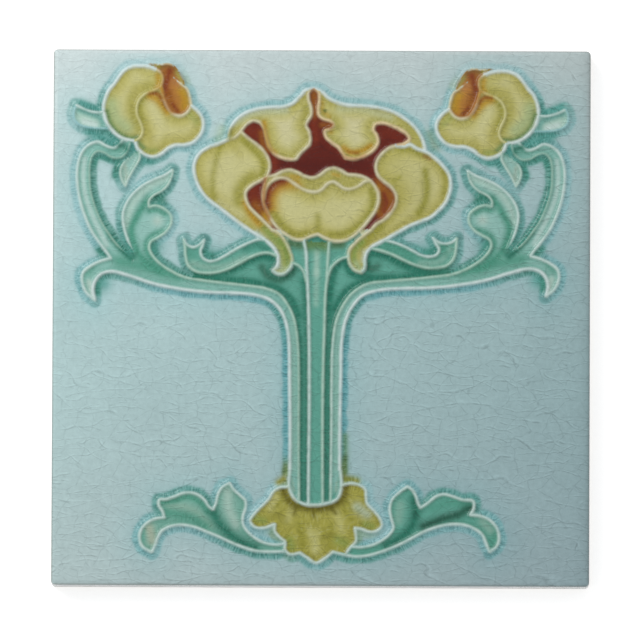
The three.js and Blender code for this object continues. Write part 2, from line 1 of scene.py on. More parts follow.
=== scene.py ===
# Looks of an art nouveau relief tile: a pressed clay body under coloured glazes, with raised
# ribs that the glaze runs off and hollows that it pools in. Drawn sizes are millimetres in the
# plane of the face; the frame and the meshes are metres, +Z out of the face, +Y to its top.
import math

import bpy
import numpy as np
from mathutils import Matrix, Vector, kdtree, noise
from mathutils.geometry import delaunay_2d_cdt


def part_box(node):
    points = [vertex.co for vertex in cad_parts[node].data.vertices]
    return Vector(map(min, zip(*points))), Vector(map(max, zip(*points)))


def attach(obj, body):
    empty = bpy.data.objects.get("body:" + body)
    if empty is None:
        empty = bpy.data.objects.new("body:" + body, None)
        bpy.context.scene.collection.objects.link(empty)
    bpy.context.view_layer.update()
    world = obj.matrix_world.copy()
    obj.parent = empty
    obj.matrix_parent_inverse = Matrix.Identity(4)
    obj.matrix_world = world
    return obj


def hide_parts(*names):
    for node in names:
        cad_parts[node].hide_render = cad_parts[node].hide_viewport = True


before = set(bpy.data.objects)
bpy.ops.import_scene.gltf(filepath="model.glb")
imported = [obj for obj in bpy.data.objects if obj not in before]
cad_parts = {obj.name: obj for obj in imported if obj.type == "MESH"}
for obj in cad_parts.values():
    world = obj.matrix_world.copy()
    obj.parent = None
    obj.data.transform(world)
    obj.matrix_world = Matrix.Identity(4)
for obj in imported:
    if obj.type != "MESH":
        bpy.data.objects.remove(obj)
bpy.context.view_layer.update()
node_low, node_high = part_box("tile")

MM = 0.001

# Tile body, with its outer size read from the frame
TILE_WIDTH = (node_high[0] - node_low[0]) / MM
TILE_HEIGHT = (node_high[1] - node_low[1]) / MM
GROUND_LEVEL = 9.5
CORNER_RADIUS = 1.2
LEAST_CORNER_RADIUS = 0.36
FACE_EDGE_ROUNDING = 1.3
BACK_EDGE_CHAMFER = 0.6
GROOVE_PITCH = 18
GROOVE_MOUTH_WIDTH = 7
GROOVE_FLOOR_WIDTH = 5.6
GROOVE_DEPTH = 1.2
GROOVE_SIDE_MARGIN = 12
GROOVE_END_MARGIN = 12

# Relief: crests of the ribs, and the fields that they enclose, above the ground
CREST_RISE = 0.86
PETAL_RISE = 0.5
LEAF_RISE = 0.4
CALYX_RISE = 0.35
HEART_RISE = 0.25
WEB_RISE = 0.18
RIB_REACH = 1.0
PILLOW_REACH = 2.4
MOAT_DEPTH = 0.22
MOAT_CENTRE = 1.7
MOAT_REACH = 0.8
EDGE_FALL = 0.14
EDGE_FALL_REACH = 3.4

# The right half is the left one turned over, spread a little wider and sloping a little
STEM_AXIS_X = -1.65
SPREAD = 2.85
SPREAD_START = 10
SPREAD_REACH = 17
SLOPE = 0.04
SLOPE_LEVEL = 43.6
SLOPE_START = 8.5
SLOPE_FULL = 14.2

# Lines of the left half that the right half repeats
MIRRORED_LINES = {
    "arm_lower_rib": [
        (-8.7, -43.4), (-8.7, -32), (-8.9, -17.7), (-9.2, -6.3), (-10.2, -0.9), (-11.9, 2.5),
        (-14.6, 4.9), (-18.9, 6.3), (-24.6, 6.8), (-31.7, 7), (-39.3, 7.8), (-47.3, 9.3),
        (-54.4, 11.6), (-59.5, 12.8), (-62.4, 12.1), (-64.1, 10.3), (-64.8, 7.7), (-64.2, 4.6),
    ],
    "curl_edge": [
        (-59.8, 16.6), (-62.7, 15.7), (-65.5, 14.3), (-67.6, 12.4), (-67.8, 9.7), (-66.6, 6.8),
        (-64.2, 4.6),
    ],
    "arm_upper_rib": [
        (-6.1, -52.8), (-6.2, -43.4), (-6.3, -29.2), (-6.3, -17.7), (-6.6, -7.7), (-7.6, -0.9),
        (-9.5, 3.4), (-12, 6.5), (-15.7, 8.1), (-20.9, 8.9), (-27.4, 9.6), (-33.1, 10.3),
        (-38.5, 11.2), (-43.6, 13.6), (-47, 16.3), (-48.8, 19.2), (-48.5, 21.2), (-46.5, 22.5),
        (-44.2, 24.1), (-42.7, 26.4), (-42.8, 28.9), (-44.8, 30.8), (-47.1, 31.6), (-49, 31.2),
    ],
    "leaf_front_edge": [
        (-49, 31.2), (-49, 32.9), (-47.7, 34.5), (-45.4, 35.8), (-43.6, 37.6), (-42.6, 39.8),
        (-42.3, 41.8),
    ],
    "leaf_back_edge": [
        (-42.3, 41.8), (-44.6, 40.3), (-47.7, 39), (-50.8, 37.3), (-53.7, 34.7), (-55.6, 31.7),
        (-56.4, 28.6), (-56, 25.2), (-54.9, 21.7), (-53.3, 18.6),
    ],
    "side_stem_outer": [
        (-59.8, 16.6), (-61.4, 18.9), (-63.5, 21.7), (-65.5, 24.8), (-67.1, 28.5), (-68.4, 32.5),
        (-69.2, 36.8), (-69.4, 40.8), (-68.9, 44.5), (-67.6, 47.4), (-65.5, 49.2), (-63.4, 49.7),
        (-61.1, 48.5), (-59, 48), (-57.4, 49.1), (-56.3, 50.4),
    ],
    "side_stem_inner": [
        (-54.3, 49.7), (-55.3, 46.9), (-57.3, 45.2), (-59.7, 45.4), (-61.9, 46.7), (-63.7, 47),
        (-65.1, 45.7), (-65.8, 43.4), (-65.9, 39.7), (-65.6, 35.7), (-64.4, 31.4), (-62.6, 27.1),
        (-60.4, 23.6), (-57.9, 20.3), (-55, 17.7),
    ],
    "narrow_leaf_left": [(-54.3, 45.7), (-56.1, 43.9), (-57.1, 41.7), (-56.9, 39.4), (-55.7, 37.1)],
    "narrow_leaf_right": [
        (-51.9, 47.4), (-51.6, 45.4), (-52.6, 43.2), (-54.1, 40.7), (-55, 38.9), (-55.7, 37.1),
    ],
    "tendril_top": [(-69.7, 60.1), (-67.7, 59.1), (-65.4, 58.3), (-63.4, 58.1), (-61.9, 58.4)],
    "tendril_edge": [
        (-69.7, 60.1), (-70.3, 58.5), (-70.3, 56.5), (-69.1, 54.8), (-66.8, 53.9), (-64.2, 53.6),
        (-61.1, 53.5),
    ],
    "bud_left_edge": [
        (-46.8, 70.3), (-49, 71.1), (-51.2, 71.4), (-53.8, 71.2), (-56.1, 70.1), (-57.6, 68.4),
        (-58.9, 66.4), (-60.5, 64.5), (-61.5, 62.2), (-62, 59.7), (-61.7, 57.1), (-60.7, 54.5),
        (-59, 52.4), (-56.8, 50.8), (-54.6, 50.1), (-53, 50),
    ],
    "bud_lower_edge": [
        (-53, 50), (-52.3, 47.9), (-50.4, 46.2), (-47.9, 45.5), (-45.6, 46.3), (-43.6, 47.9),
        (-41.5, 48.8), (-38.9, 48.9), (-36.5, 49.7), (-34.7, 51.5), (-33.7, 53.9), (-33.9, 56.5),
        (-35.3, 58.6), (-37.1, 60.1),
    ],
    "bud_fold": [
        (-45.7, 65.4), (-47.8, 64.4), (-50.2, 63.4), (-51.8, 61.9), (-52.6, 59.7), (-52.5, 57.4),
        (-51.5, 55.1), (-50.9, 52.9), (-51.6, 51), (-53, 50),
    ],
    "bud_flame_edge": [
        (-48.8, 71.9), (-47.5, 71.8), (-46.3, 71.7), (-45.2, 71.8), (-44.1, 72), (-43, 71.8),
        (-41.9, 71.2), (-41, 70.1), (-40.2, 68.8), (-39.5, 67.5), (-39.1, 65.9),
    ],
    "bud_flame_inner": [(-46.8, 70.3), (-45.6, 69.2), (-45.3, 67.4), (-45.7, 65.4)],
    "bud_lobe_outer": [
        (-42.4, 68.3), (-41.3, 67.3), (-39.8, 66.1), (-38.4, 64.9), (-37.7, 63.3), (-37.1, 60.1),
    ],
    "bud_lobe_inner": [
        (-37.1, 60.1), (-38.3, 58.2), (-40.1, 57.2), (-42, 57.6), (-43.4, 59), (-44.7, 61.7),
        (-45.7, 65.4),
    ],
}


# Lines of the left half that the right half draws in its own way
LEFT_LINES = {
    "small_leaf_lower": [
        (-39, 21.9), (-38.7, 19.8), (-38.5, 17.2), (-37.8, 14.7), (-35.7, 13), (-32.8, 12.5),
        (-29.4, 12.8), (-26, 13.9), (-22.3, 15.9), (-18.6, 17.7), (-15.2, 18.3), (-12.5, 17.3),
    ],
    "small_leaf_tip": [(-39, 21.9), (-38.1, 20.5), (-36.5, 19.8), (-34.8, 20.4), (-33.3, 21.9)],
    "small_leaf_upper": [
        (-33.3, 21.9), (-33.7, 20.3), (-34.3, 18.7), (-33.8, 17), (-32.1, 15.9), (-30, 16.1),
        (-27.4, 17.4), (-24.3, 19.3), (-20.9, 21), (-17.8, 22.1), (-15.7, 21.8),
    ],
    "base_lower_edge": [
        (-10.3, -66.6), (-14.3, -66.7), (-18, -66.5), (-21.4, -65.6), (-24.8, -64.3),
        (-28.5, -62.6), (-31.9, -61.2), (-35.6, -59.8), (-39.3, -59.2), (-42.5, -59.6),
        (-44.9, -60.9), (-46.1, -62.9), (-46.8, -65), (-47.7, -67),
    ],
    "base_curl_edge": [
        (-44.2, -57.1), (-46.6, -57.4), (-48.9, -58.5), (-50.6, -60.3), (-51.2, -62.7),
        (-50.5, -65.2), (-47.7, -67),
    ],
    "base_lobe": [
        (-44.2, -57.1), (-44.8, -55.3), (-45.8, -53.6), (-45.6, -52), (-43.8, -51.9),
        (-41.4, -51.1), (-39.1, -50.2), (-36.8, -50), (-34.5, -50.7), (-32.7, -52.2),
        (-31.7, -53.8), (-30.4, -54.8),
    ],
    "base_point": [(-30.4, -54.8), (-29.6, -52.9), (-29.1, -50.7), (-27.9, -48.5), (-25.7, -47.2)],
    "base_upper_edge": [
        (-25.7, -47.2), (-24.7, -48.9), (-22.9, -50.6), (-21.3, -52.2), (-21.2, -54.3),
        (-21.9, -56.5), (-21.9, -58.9), (-20.4, -61.2), (-18, -63.1), (-15, -64.4), (-12, -64.7),
        (-10, -64.4),
    ],
}


# Lines of the right half alone
RIGHT_LINES = {
    "small_leaf_lower_right": [
        (38.3, 22.6), (38.1, 19.6), (37.4, 16.8), (35.7, 15), (32.5, 14.2), (29.4, 14.3),
        (26.3, 15.1), (22.9, 16.6), (19.7, 18.1), (16.6, 19.1), (13.9, 19.7),
    ],
    "small_leaf_tip_right": [(38.3, 22.6), (37.1, 21.6), (35.1, 21.1), (33.2, 21.5), (31.6, 22.7)],
    "small_leaf_upper_right": [
        (31.6, 22.7), (32.5, 21), (33.3, 19.4), (32.7, 18), (30.8, 17.4), (28.5, 17.7),
        (25.7, 19.1), (23.1, 20.4), (20.4, 21.4), (17.7, 22),
    ],
    "base_lower_right": [
        (3.6, -66.7), (7, -67.5), (10.7, -68), (14.1, -67.5), (17.8, -66.4), (21.5, -64.9),
        (25.5, -62.9), (29.4, -60.8), (33.4, -59.4), (37.4, -58.7), (40.8, -58.9), (43.6, -59.9),
        (45.8, -61.6), (46.9, -64), (47.9, -66.5),
    ],
    "base_curl_right": [
        (42.5, -56), (45.3, -56.3), (48, -57.5), (49.9, -59.7), (50.6, -62.6), (49.9, -65),
        (47.9, -66.5),
    ],
    "base_lobe_right": [
        (42.5, -56), (43.4, -54.1), (43.2, -52.1), (40.2, -51.7), (37.5, -50.8), (34.9, -50.2),
        (32.7, -50.8), (30.5, -52.6), (28.3, -54.1),
    ],
    "base_point_right": [(28.3, -54.1), (27.6, -52.7), (27.1, -51), (26.1, -49.1), (24.6, -48)],
    "base_upper_right": [
        (24.6, -48), (22.7, -49.4), (20.4, -51.6), (19.6, -54.2), (20, -57), (20.7, -59.7),
        (19.5, -61.7), (17.2, -63.5), (14.4, -64.8), (11.7, -65.3), (9, -65.2),
    ],
}


# Lines of the stem, its foot and the flower
CENTRE_LINES = {
    "stem_foot": [
        (-8.7, -43.4), (-8.9, -48.3), (-7.4, -51.5), (-4.7, -53.1), (-1.3, -53.4), (1.8, -52.9),
        (4.7, -51.6), (5.9, -48.2), (5.6, -43.4),
    ],
    "flute_rib_left": [
        (-3.4, -53.2), (-3.4, -43.4), (-3.3, -32), (-3.3, -17.7), (-3.4, -6.3), (-3.6, 2.3),
        (-3.9, 9.4), (-4.2, 14.2), (-4.3, 18), (-5, 21.9),
    ],
    "flute_branch_left": [(-8.5, 15.5), (-6.5, 14.7), (-5.1, 13.1), (-4.2, 10.2)],
    "flute_rib_right": [
        (0.6, -53.1), (0.5, -32), (0.6, -14.9), (0.9, -3.4), (1.1, 5.1), (1.5, 10.8), (1.8, 16),
        (2.1, 21.1),
    ],
    "flute_branch_right": [(7.7, 17.4), (5.1, 16.4), (3.1, 14.6), (2, 12.3), (1.4, 9.4)],
    "calyx_left": [
        (-9, -48.3), (-11.4, -48.4), (-13.4, -49.7), (-14.8, -51.9), (-16.8, -53.9), (-18.7, -55.9),
        (-19.9, -57.9), (-18.7, -59.6), (-16.2, -60), (-12.9, -58.9),
    ],
    "calyx_left_low": [
        (-12.9, -58.9), (-12.9, -60.9), (-11.5, -62.6), (-10, -63.9), (-10, -66), (-8.6, -67.4),
        (-5.8, -67),
    ],
    "calyx_tip": [(-5.8, -67), (-3.8, -68.3), (-1.2, -69.8), (1.1, -68.7), (3.6, -66.7)],
    "calyx_right_low": [(9.8, -59.9), (10.1, -61.9), (10.1, -63.6), (8.4, -65.5), (7.3, -67.1)],
    "calyx_right": [
        (6.1, -47.7), (8.4, -47.2), (10.8, -47.6), (12.7, -48.9), (12.9, -50.8), (13.2, -52.8),
        (15.2, -55), (16.9, -57.2), (17.4, -59.2), (15.9, -60.7), (13.7, -60.9), (11.5, -60.1),
        (9.8, -59.9),
    ],
    "heart_left_arm": [
        (-3.6, 49.1), (-5.3, 47.5), (-6.5, 46.3), (-7.4, 45.1), (-9.7, 45), (-11.9, 45.6),
        (-13.9, 46.9), (-15.2, 48.9), (-15.9, 51.3), (-16.4, 53.6), (-17.5, 55.3), (-19.4, 55.9),
        (-21.3, 55), (-23.1, 52.8),
    ],
    "heart_left_low": [
        (-23.1, 52.8), (-21, 51), (-18.8, 49.4), (-16.8, 47.6), (-15.3, 45.3), (-14.8, 42.7),
        (-15.5, 39.9),
    ],
    "stalk_left": [
        (-3.6, 49.1), (-3.3, 50.9), (-3.7, 52.9), (-4.5, 54.5), (-4, 56.1), (-3.1, 57.5),
        (-3.2, 59.9), (-3.9, 62.2), (-3.7, 64.2), (-2.3, 65.1),
    ],
    "stalk_right": [
        (-2.3, 65.1), (-1, 64.1), (-0.8, 61.9), (-1.1, 59.6), (-0.9, 57.6), (0.5, 56.4),
        (2.4, 55.8), (3.3, 54.7), (2.2, 53.7), (0.9, 53.2), (1.1, 51.4), (2.7, 49.8), (4.7, 48.4),
        (5.8, 46.8), (6.7, 45.5),
    ],
    "heart_right_arm": [
        (6.7, 45.5), (9.1, 45.1), (11.5, 45.8), (13.6, 46.9), (15.1, 48.3), (15.9, 50.1),
        (15.5, 51.9), (14.6, 53.4), (15.1, 55), (17.3, 55.4), (19.9, 54.6), (22.1, 53.6),
        (24, 52.3), (24.8, 50.8), (23.3, 49.5), (21, 48.9),
    ],
    "lower_petal_top": [
        (-15.5, 39.9), (-13.3, 40.4), (-11.1, 41.5), (-8.9, 41.9), (-6.8, 41.2), (-4.7, 40.1),
        (-2.5, 39.7), (-0.5, 40.5), (1.4, 42), (3.4, 42.5), (5.4, 41.8), (7.4, 40.7), (10, 40.5),
        (12.5, 39.7), (14.5, 38.2), (16, 35.7),
    ],
    "lower_petal_right": [
        (16, 35.7), (16.1, 33.2), (15.3, 30.6), (13.7, 28.2), (11.6, 25.6), (9.2, 23.3),
        (6.5, 21.9), (3.5, 21.7), (1.1, 22.5), (-1, 23.6),
    ],
    "lower_petal_left": [
        (-1, 23.6), (-3.2, 23), (-5.3, 22.1), (-7.7, 22.2), (-10, 23.4), (-12.3, 25.2),
        (-14.3, 27.8), (-15.8, 30.6), (-16.7, 33.6), (-16.5, 36.6), (-15.5, 39.9),
    ],
    "lower_petal_frill": [
        (-16.4, 33.6), (-16, 36.2), (-14.6, 38.3), (-12.6, 39.5), (-10.3, 39.5), (-8.2, 38.3),
        (-6.2, 36.9), (-3.9, 35.9), (-1.7, 35.7), (0, 36.4), (1.5, 38), (3.2, 38.6), (4.7, 37.8),
        (6.4, 36.7), (8.4, 36.6), (10.4, 37.4), (12.3, 38.7), (14, 38.9),
    ],
    "left_petal_inner": [
        (-15.5, 39.9), (-17.9, 38.6), (-20.1, 37.3), (-21.5, 35.7), (-21.5, 33.6), (-20.5, 31.4),
        (-18.7, 29.5), (-16.4, 27.3), (-14, 24.8),
    ],
    "left_petal_throat": [
        (-14, 24.8), (-12.8, 24.4), (-11.1, 22.8), (-9.8, 20.6), (-8.9, 18.5), (-8.4, 17.1),
        (-8.3, 15.9),
    ],
    "left_petal_outer": [
        (-26.3, 50.8), (-29, 49.5), (-32.1, 48.4), (-34.5, 46.8), (-36, 44.4), (-36.3, 41.5),
        (-35.5, 38.4), (-33.9, 35.4), (-31.8, 33.1), (-28.9, 31), (-26.1, 28.8), (-23.2, 26.6),
        (-20.4, 24.7), (-17.7, 23), (-15.1, 21.2), (-13.2, 19.1), (-12.3, 16.6), (-12.6, 14.6),
        (-13.8, 13.2),
    ],
    "left_petal_hook": [
        (-13.8, 13.2), (-12.6, 12.4), (-11.2, 12.2), (-9.7, 13), (-8.6, 14.5), (-8.3, 15.9),
    ],
    "upper_left_petal": [
        (-2.3, 65.1), (-4.8, 64.6), (-6.3, 62.9), (-8.3, 61), (-10.8, 60), (-14.3, 59.8),
        (-17.7, 59.4), (-21.1, 58.4), (-23.8, 56.7), (-25.7, 54.4), (-26.3, 52.5), (-26.3, 50.8),
    ],
    "upper_left_link": [(-26.3, 50.8), (-24.7, 51.2), (-23.1, 52.8)],
    "upper_right_petal": [
        (-2.3, 65.1), (-0.1, 64.2), (1.8, 62.5), (4.2, 61.3), (7.3, 60.5), (11, 60.3), (14.7, 60),
        (18.4, 59.2), (21.6, 57.9), (24.4, 56), (26.7, 53.8), (28.3, 51.3), (29.1, 48.9),
        (29.3, 47.5),
    ],
    "right_petal_outer": [
        (21, 48.9), (23.2, 48.8), (24.9, 49.2), (27, 48.1), (29.8, 47.1), (32.4, 45.2),
        (34.5, 43.1), (36.1, 40.7), (36.6, 37.8), (36.1, 35), (34.9, 32.4), (32.9, 30.2),
        (30.8, 28.5), (28.1, 27.4), (25.1, 26.2), (22.3, 24.6), (19.3, 22.9), (16.4, 21.3),
        (14, 19.9), (12.7, 18.2), (12.3, 16.5), (12.3, 14.8), (12, 13.6), (11.2, 12.9),
    ],
    "right_petal_inner": [
        (21, 48.9), (18.9, 48.2), (17.1, 46.7), (15.7, 44.7), (15.3, 42.4), (16.1, 40.2),
        (17.8, 38.6), (19.8, 36.9), (21.1, 34.6), (20.8, 32), (19.5, 29.8), (17.7, 27.9),
        (15.6, 26.7), (14, 24.9),
    ],
    "right_petal_throat": [
        (14, 24.9), (11.8, 23.3), (9.7, 21.4), (8.1, 19.6), (7.6, 18), (7.7, 16.3), (8.4, 14.6),
        (9.6, 13.4), (11.2, 12.9),
    ],
}

# Steps of the outside's rings, and the waves of the glaze's surface: length and phase
RING_CORNER_STEPS = 5
RING_SIDE_STEPS = 96
EDGE_STEPS = 6
SIDE_STEPS = 4
RIPPLE = 0.03
RIPPLE_WAVES = ((9, 1.3), (11, 0.4))

# The photograph's frame: its size, and where the tile's face lies in it
PHOTO_SIZE = 644
PHOTO_TILE_WIDTH = 537.7
PHOTO_CENTRE = (321.2, 317.4)
PHOTO_TURN = 0.24
CAMERA_TILT = 5.0
CAMERA_DISTANCE = 6.0
SENSOR_WIDTH = 36
CLIP_END = 20

# Stage, in metres and watts
WHITE = (1, 1, 1, 1)
FLOOR_COLOUR = (0.86, 0.86, 0.86, 1)
FLOOR_ROUGHNESS = 0.9
FLOOR_GLOW = 0.5
FLOOR_REACH = 3.0
FLOOR_DROP = 0.0002
SKY_STRENGTH = 0.6
LIGHTS = {
    "window": {"place": (-0.42, 0.42, 0.62), "size": 0.5, "power": 2.7},
    "fill": {"place": (0.7, -0.5, 0.9), "size": 0.9, "power": 1.0},
}

# Glaze colours in sRGB, 0 to 255
COLOURS = {
    # The ground's four corners: darker towards the bottom right, partly the glaze's own tone and
    # partly painted shade of the light falling off from the top left
    "ground_top_left": (212, 226, 226),
    "ground_top_right": (184, 198, 198),
    "ground_foot_left": (184, 204, 204),
    "ground_foot_right": (146, 169, 174),
    # Painted shade on the arris, where the glaze turns down away from the light
    "arris": (113, 118, 123),
    "pool_lift": (232, 240, 240),
    "crack_stain": (120, 128, 130),
    # The sides' glaze and clay, greyed with painted shade, as the sides face away from the light
    # above
    "side_glaze": (148, 159, 162),
    "side_clay": (138, 139, 135),
    "leaf_green": (128, 184, 168),
    "biscuit": (222, 212, 190),
    "biscuit_stain": (205, 190, 164),
    "biscuit_dark": (176, 160, 136),
    "haze": (152, 199, 203),
    "lake": (90, 166, 172),
    "umber": (146, 112, 58),
    "caramel": (186, 128, 74),
    "old_olive": (176, 172, 78),
    "blue": (124, 184, 186),
    "teal": (80, 158, 148),
    "deep": (36, 125, 103),
    "pool_green": (70, 148, 132),
    "ink_green": (14, 84, 62),
    "lagoon": (97, 168, 150),
    "lime": (134, 160, 78),
    "moss": (72, 100, 34),
    "mist": (204, 226, 220),
    "pale_sage": (192, 216, 204),
    "pale_buff": (184, 190, 168),
    "sage": (156, 192, 176),
    "celadon": (166, 188, 138),
    "moss_green": (98, 138, 84),
    "dark_moss": (14, 84, 56),
    "dark_olive": (112, 106, 18),
    "dark_wine": (82, 14, 8),
    "tan": (196, 140, 84),
    "tawny": (178, 120, 54),
    "pale_olive": (196, 206, 170),
    "jade": (152, 200, 190),
    "sea": (100, 172, 154),
    "fern": (76, 156, 132),
    "straw": (199, 194, 122),
    "pale_straw": (208, 205, 148),
    "soft_cream": (217, 213, 172),
    "calyx_light": (204, 203, 136),
    "cream": (216, 212, 178),
    "olive": (176, 170, 84),
    "pea": (152, 150, 46),
    "amber": (190, 148, 30),
    "rust": (154, 92, 22),
    "brick": (128, 44, 16),
    "wine": (98, 24, 8),
    "white": (216, 232, 230),
    "buff": (228, 208, 166),
    "mint": (180, 212, 196),
}

# Ribs: half width of the pale crest in millimetres, its tint, and the ribs that have them
OUTER_RIB = (0.5, "white")
RIB_GROUPS = (
    (0.46, "buff", ["heart_right_arm"]),
    (0.42, "buff", ["stalk_right"]),
    (0.44, "cream", [
        "heart_left_arm", "lower_petal_top", "lower_petal_left", "lower_petal_right",
        "left_petal_inner", "left_petal_throat", "right_petal_inner", "right_petal_throat",
    ]),
    (0.42, "cream", [
        "bud_lobe_inner", "heart_left_low", "stalk_left", "lower_petal_frill", "upper_left_link",
    ]),
    (0.36, "cream", ["bud_lobe_outer"]),
    (0.24, "cream", ["bud_flame_inner"]),
    (0.2, "haze", ["tendril_edge"]),
    (0.38, "mint", [
        "flute_rib_right", "flute_branch_left", "flute_branch_right", "small_leaf_lower",
        "small_leaf_lower_right",
    ]),
    (0.34, "mint", ["arm_upper_rib"]),
    (0.46, "mist", ["stem_foot"]),
    (0.42, "mist", ["flute_rib_left", "calyx_tip"]),
    (0.4, "mist", [
        "curl_edge", "side_stem_outer", "base_lower_edge", "base_curl_edge", "base_lower_right",
        "base_curl_right", "calyx_left", "calyx_right",
    ]),
    (0.38, "mist", [
        "base_lobe", "base_point", "base_upper_edge", "base_lobe_right", "base_point_right",
        "base_upper_right", "calyx_left_low", "calyx_right_low",
    ]),
    (0.36, "mist", ["leaf_back_edge", "small_leaf_upper", "small_leaf_upper_right"]),
    (0.34, "mist", ["small_leaf_tip", "small_leaf_tip_right"]),
    (0.28, "mist", ["tendril_top"]),
    (0.28, "pale_sage", ["narrow_leaf_left", "narrow_leaf_right"]),
    (0.26, "pale_sage", ["leaf_front_edge"]),
    (0.32, "pale_straw", ["bud_fold"]),
    (0.26, "sage", ["side_stem_inner"]),
    (0.16, "umber", ["bud_flame_edge"]),
    (0.46, "white", ["arm_lower_rib"]),
)
RIB_STYLES = {name: (half, tint) for half, tint, names in RIB_GROUPS for name in names}

# Glaze pooled outside the ribs: fraction of the way along the line, colour and strength
MOATS = {
    "arm_lower_rib": [
        (0, "lime", 0.9), (0.04, "lake", 0.85), (0.3, "lake", 0.95), (0.42, "teal", 0.95),
        (0.5, "lake", 0.85), (0.75, "lake", 0.7), (0.84, "teal", 0.7), (0.92, "pool_green", 0.85),
        (1, "teal", 0.6),
    ],
    "curl_edge": [
        (0, "pool_green", 0.7), (0.3, "blue", 0.75), (0.7, "blue", 0.8), (1, "blue", 0.6),
    ],
    "arm_upper_rib": [
        (0, "pool_green", 1), (0.66, "pool_green", 1), (0.76, "pool_green", 0.9),
        (0.82, "pool_green", 0.9), (0.87, "blue", 0.6), (0.93, "blue", 0.55), (0.96, "teal", 0.8),
        (1, "pool_green", 0.95),
    ],
    "leaf_front_edge": [
        (0, "pool_green", 0.95), (0.3, "pool_green", 0.8), (0.6, "teal", 0.8), (1, "teal", 0.75),
    ],
    "leaf_back_edge": [
        (0, "teal", 0.6), (0.3, "blue", 0.6), (0.6, "teal", 0.65), (0.8, "teal", 0.9),
        (1, "pool_green", 1),
    ],
    "side_stem_outer": [
        (0, "pool_green", 0.7), (0.12, "blue", 0.8), (0.3, "haze", 0.75), (0.7, "blue", 0.6),
        (0.84, "teal", 0.8), (0.92, "pool_green", 0.95), (1, "pool_green", 0.95),
    ],
    "side_stem_inner": [
        (0, "pool_green", 0.9), (0.2, "teal", 0.9), (0.4, "pool_green", 0.85), (1, "pool_green", 1),
    ],
    "narrow_leaf_left": [(0, "pool_green", 0.9), (0.6, "teal", 0.9), (1, "teal", 0.5)],
    "narrow_leaf_right": [(0, "pool_green", 0.8), (0.4, "teal", 0.7), (1, "blue", 0.5)],
    "tendril_top": [(0, "teal", 0.8), (0.5, "teal", 0.85), (1, "pool_green", 0.85)],
    "tendril_edge": [
        (0, "teal", 0.6), (0.3, "blue", 0.5), (0.7, "teal", 0.75), (1, "pool_green", 0.9),
    ],
    "bud_left_edge": [
        (0, "haze", 0.3), (0.25, "haze", 0.6), (0.42, "blue", 0.65), (0.55, "teal", 0.9),
        (0.8, "pool_green", 0.95), (1, "pool_green", 1),
    ],
    "bud_lower_edge": [
        (0, "pool_green", 1), (0.25, "teal", 0.8), (0.45, "blue", 0.65), (1, "haze", 0.75),
    ],
    "bud_flame_edge": [(0, "haze", 0.3), (0.6, "haze", 0.2), (1, "lime", 0.4)],
    "bud_lobe_outer": [(0, "lime", 0.4), (0.3, "blue", 0.5), (1, "blue", 0.6)],
    "small_leaf_lower": [
        (0, "teal", 0.6), (0.12, "teal", 0.7), (0.25, "pool_green", 0.85), (1, "pool_green", 1),
    ],
    "small_leaf_tip": [(0, "teal", 0.6), (0.5, "teal", 0.8), (1, "teal", 0.7)],
    "small_leaf_upper": [
        (0, "teal", 0.7), (0.2, "pool_green", 0.95), (0.35, "pool_green", 0.8), (0.55, "teal", 0.7),
        (1, "teal", 0.8),
    ],
    "base_lower_edge": [
        (0, "teal", 0.9), (0.35, "teal", 0.85), (0.6, "blue", 0.75), (0.85, "blue", 0.8),
        (1, "blue", 0.7),
    ],
    "base_curl_edge": [(0, "pool_green", 0.8), (0.3, "blue", 0.85), (1, "blue", 0.85)],
    "base_lobe": [
        (0, "pool_green", 0.9), (0.2, "teal", 0.8), (0.6, "teal", 0.8), (1, "pool_green", 0.9),
    ],
    "base_point": [(0, "pool_green", 0.9), (0.5, "blue", 0.75), (1, "blue", 0.7)],
    "base_upper_edge": [
        (0, "blue", 0.7), (0.35, "blue", 0.65), (0.7, "haze", 0.8), (0.85, "blue", 0.8),
        (1, "teal", 0.7),
    ],
    "calyx_left": [
        (0, "lime", 0.9), (0.15, "haze", 0.6), (0.6, "haze", 0.7), (0.85, "blue", 0.5),
        (1, "lime", 0.5),
    ],
    "calyx_left_low": [(0, "lime", 0.5), (1, "teal", 0.7)],
    "calyx_tip": [(0, "teal", 0.8), (0.5, "blue", 0.8), (1, "teal", 0.85)],
    "calyx_right_low": [(0, "lime", 0.5), (1, "teal", 0.7)],
    "calyx_right": [(0, "lime", 0.9), (0.2, "haze", 0.6), (0.7, "haze", 0.7), (1, "lime", 0.5)],
    "upper_left_petal": [
        (0, "haze", 0.6), (0.3, "blue", 0.65), (0.8, "blue", 0.6), (1, "blue", 0.6),
    ],
    "upper_right_petal": [
        (0, "haze", 0.7), (0.3, "blue", 0.55), (0.8, "blue", 0.5), (1, "blue", 0.6),
    ],
    "left_petal_outer": [
        (0, "blue", 0.55), (0.25, "blue", 0.6), (0.6, "haze", 0.75), (0.72, "blue", 0.65),
        (0.84, "teal", 0.8), (0.92, "pool_green", 0.9), (1, "pool_green", 1),
    ],
    "left_petal_hook": [(0, "pool_green", 1), (1, "pool_green", 1)],
    "right_petal_outer": [
        (0, "blue", 0.5), (0.2, "blue", 0.65), (0.45, "teal", 0.75), (0.6, "teal", 0.8),
        (0.7, "teal", 0.8), (0.82, "pool_green", 0.85), (1, "pool_green", 1),
    ],
}
RIGHT_TWINS = {
    "small_leaf_lower": "small_leaf_lower_right",
    "small_leaf_tip": "small_leaf_tip_right",
    "small_leaf_upper": "small_leaf_upper_right",
    "base_lower_edge": "base_lower_right",
    "base_curl_edge": "base_curl_right",
    "base_lobe": "base_lobe_right",
    "base_point": "base_point_right",
    "base_upper_edge": "base_upper_right",
}

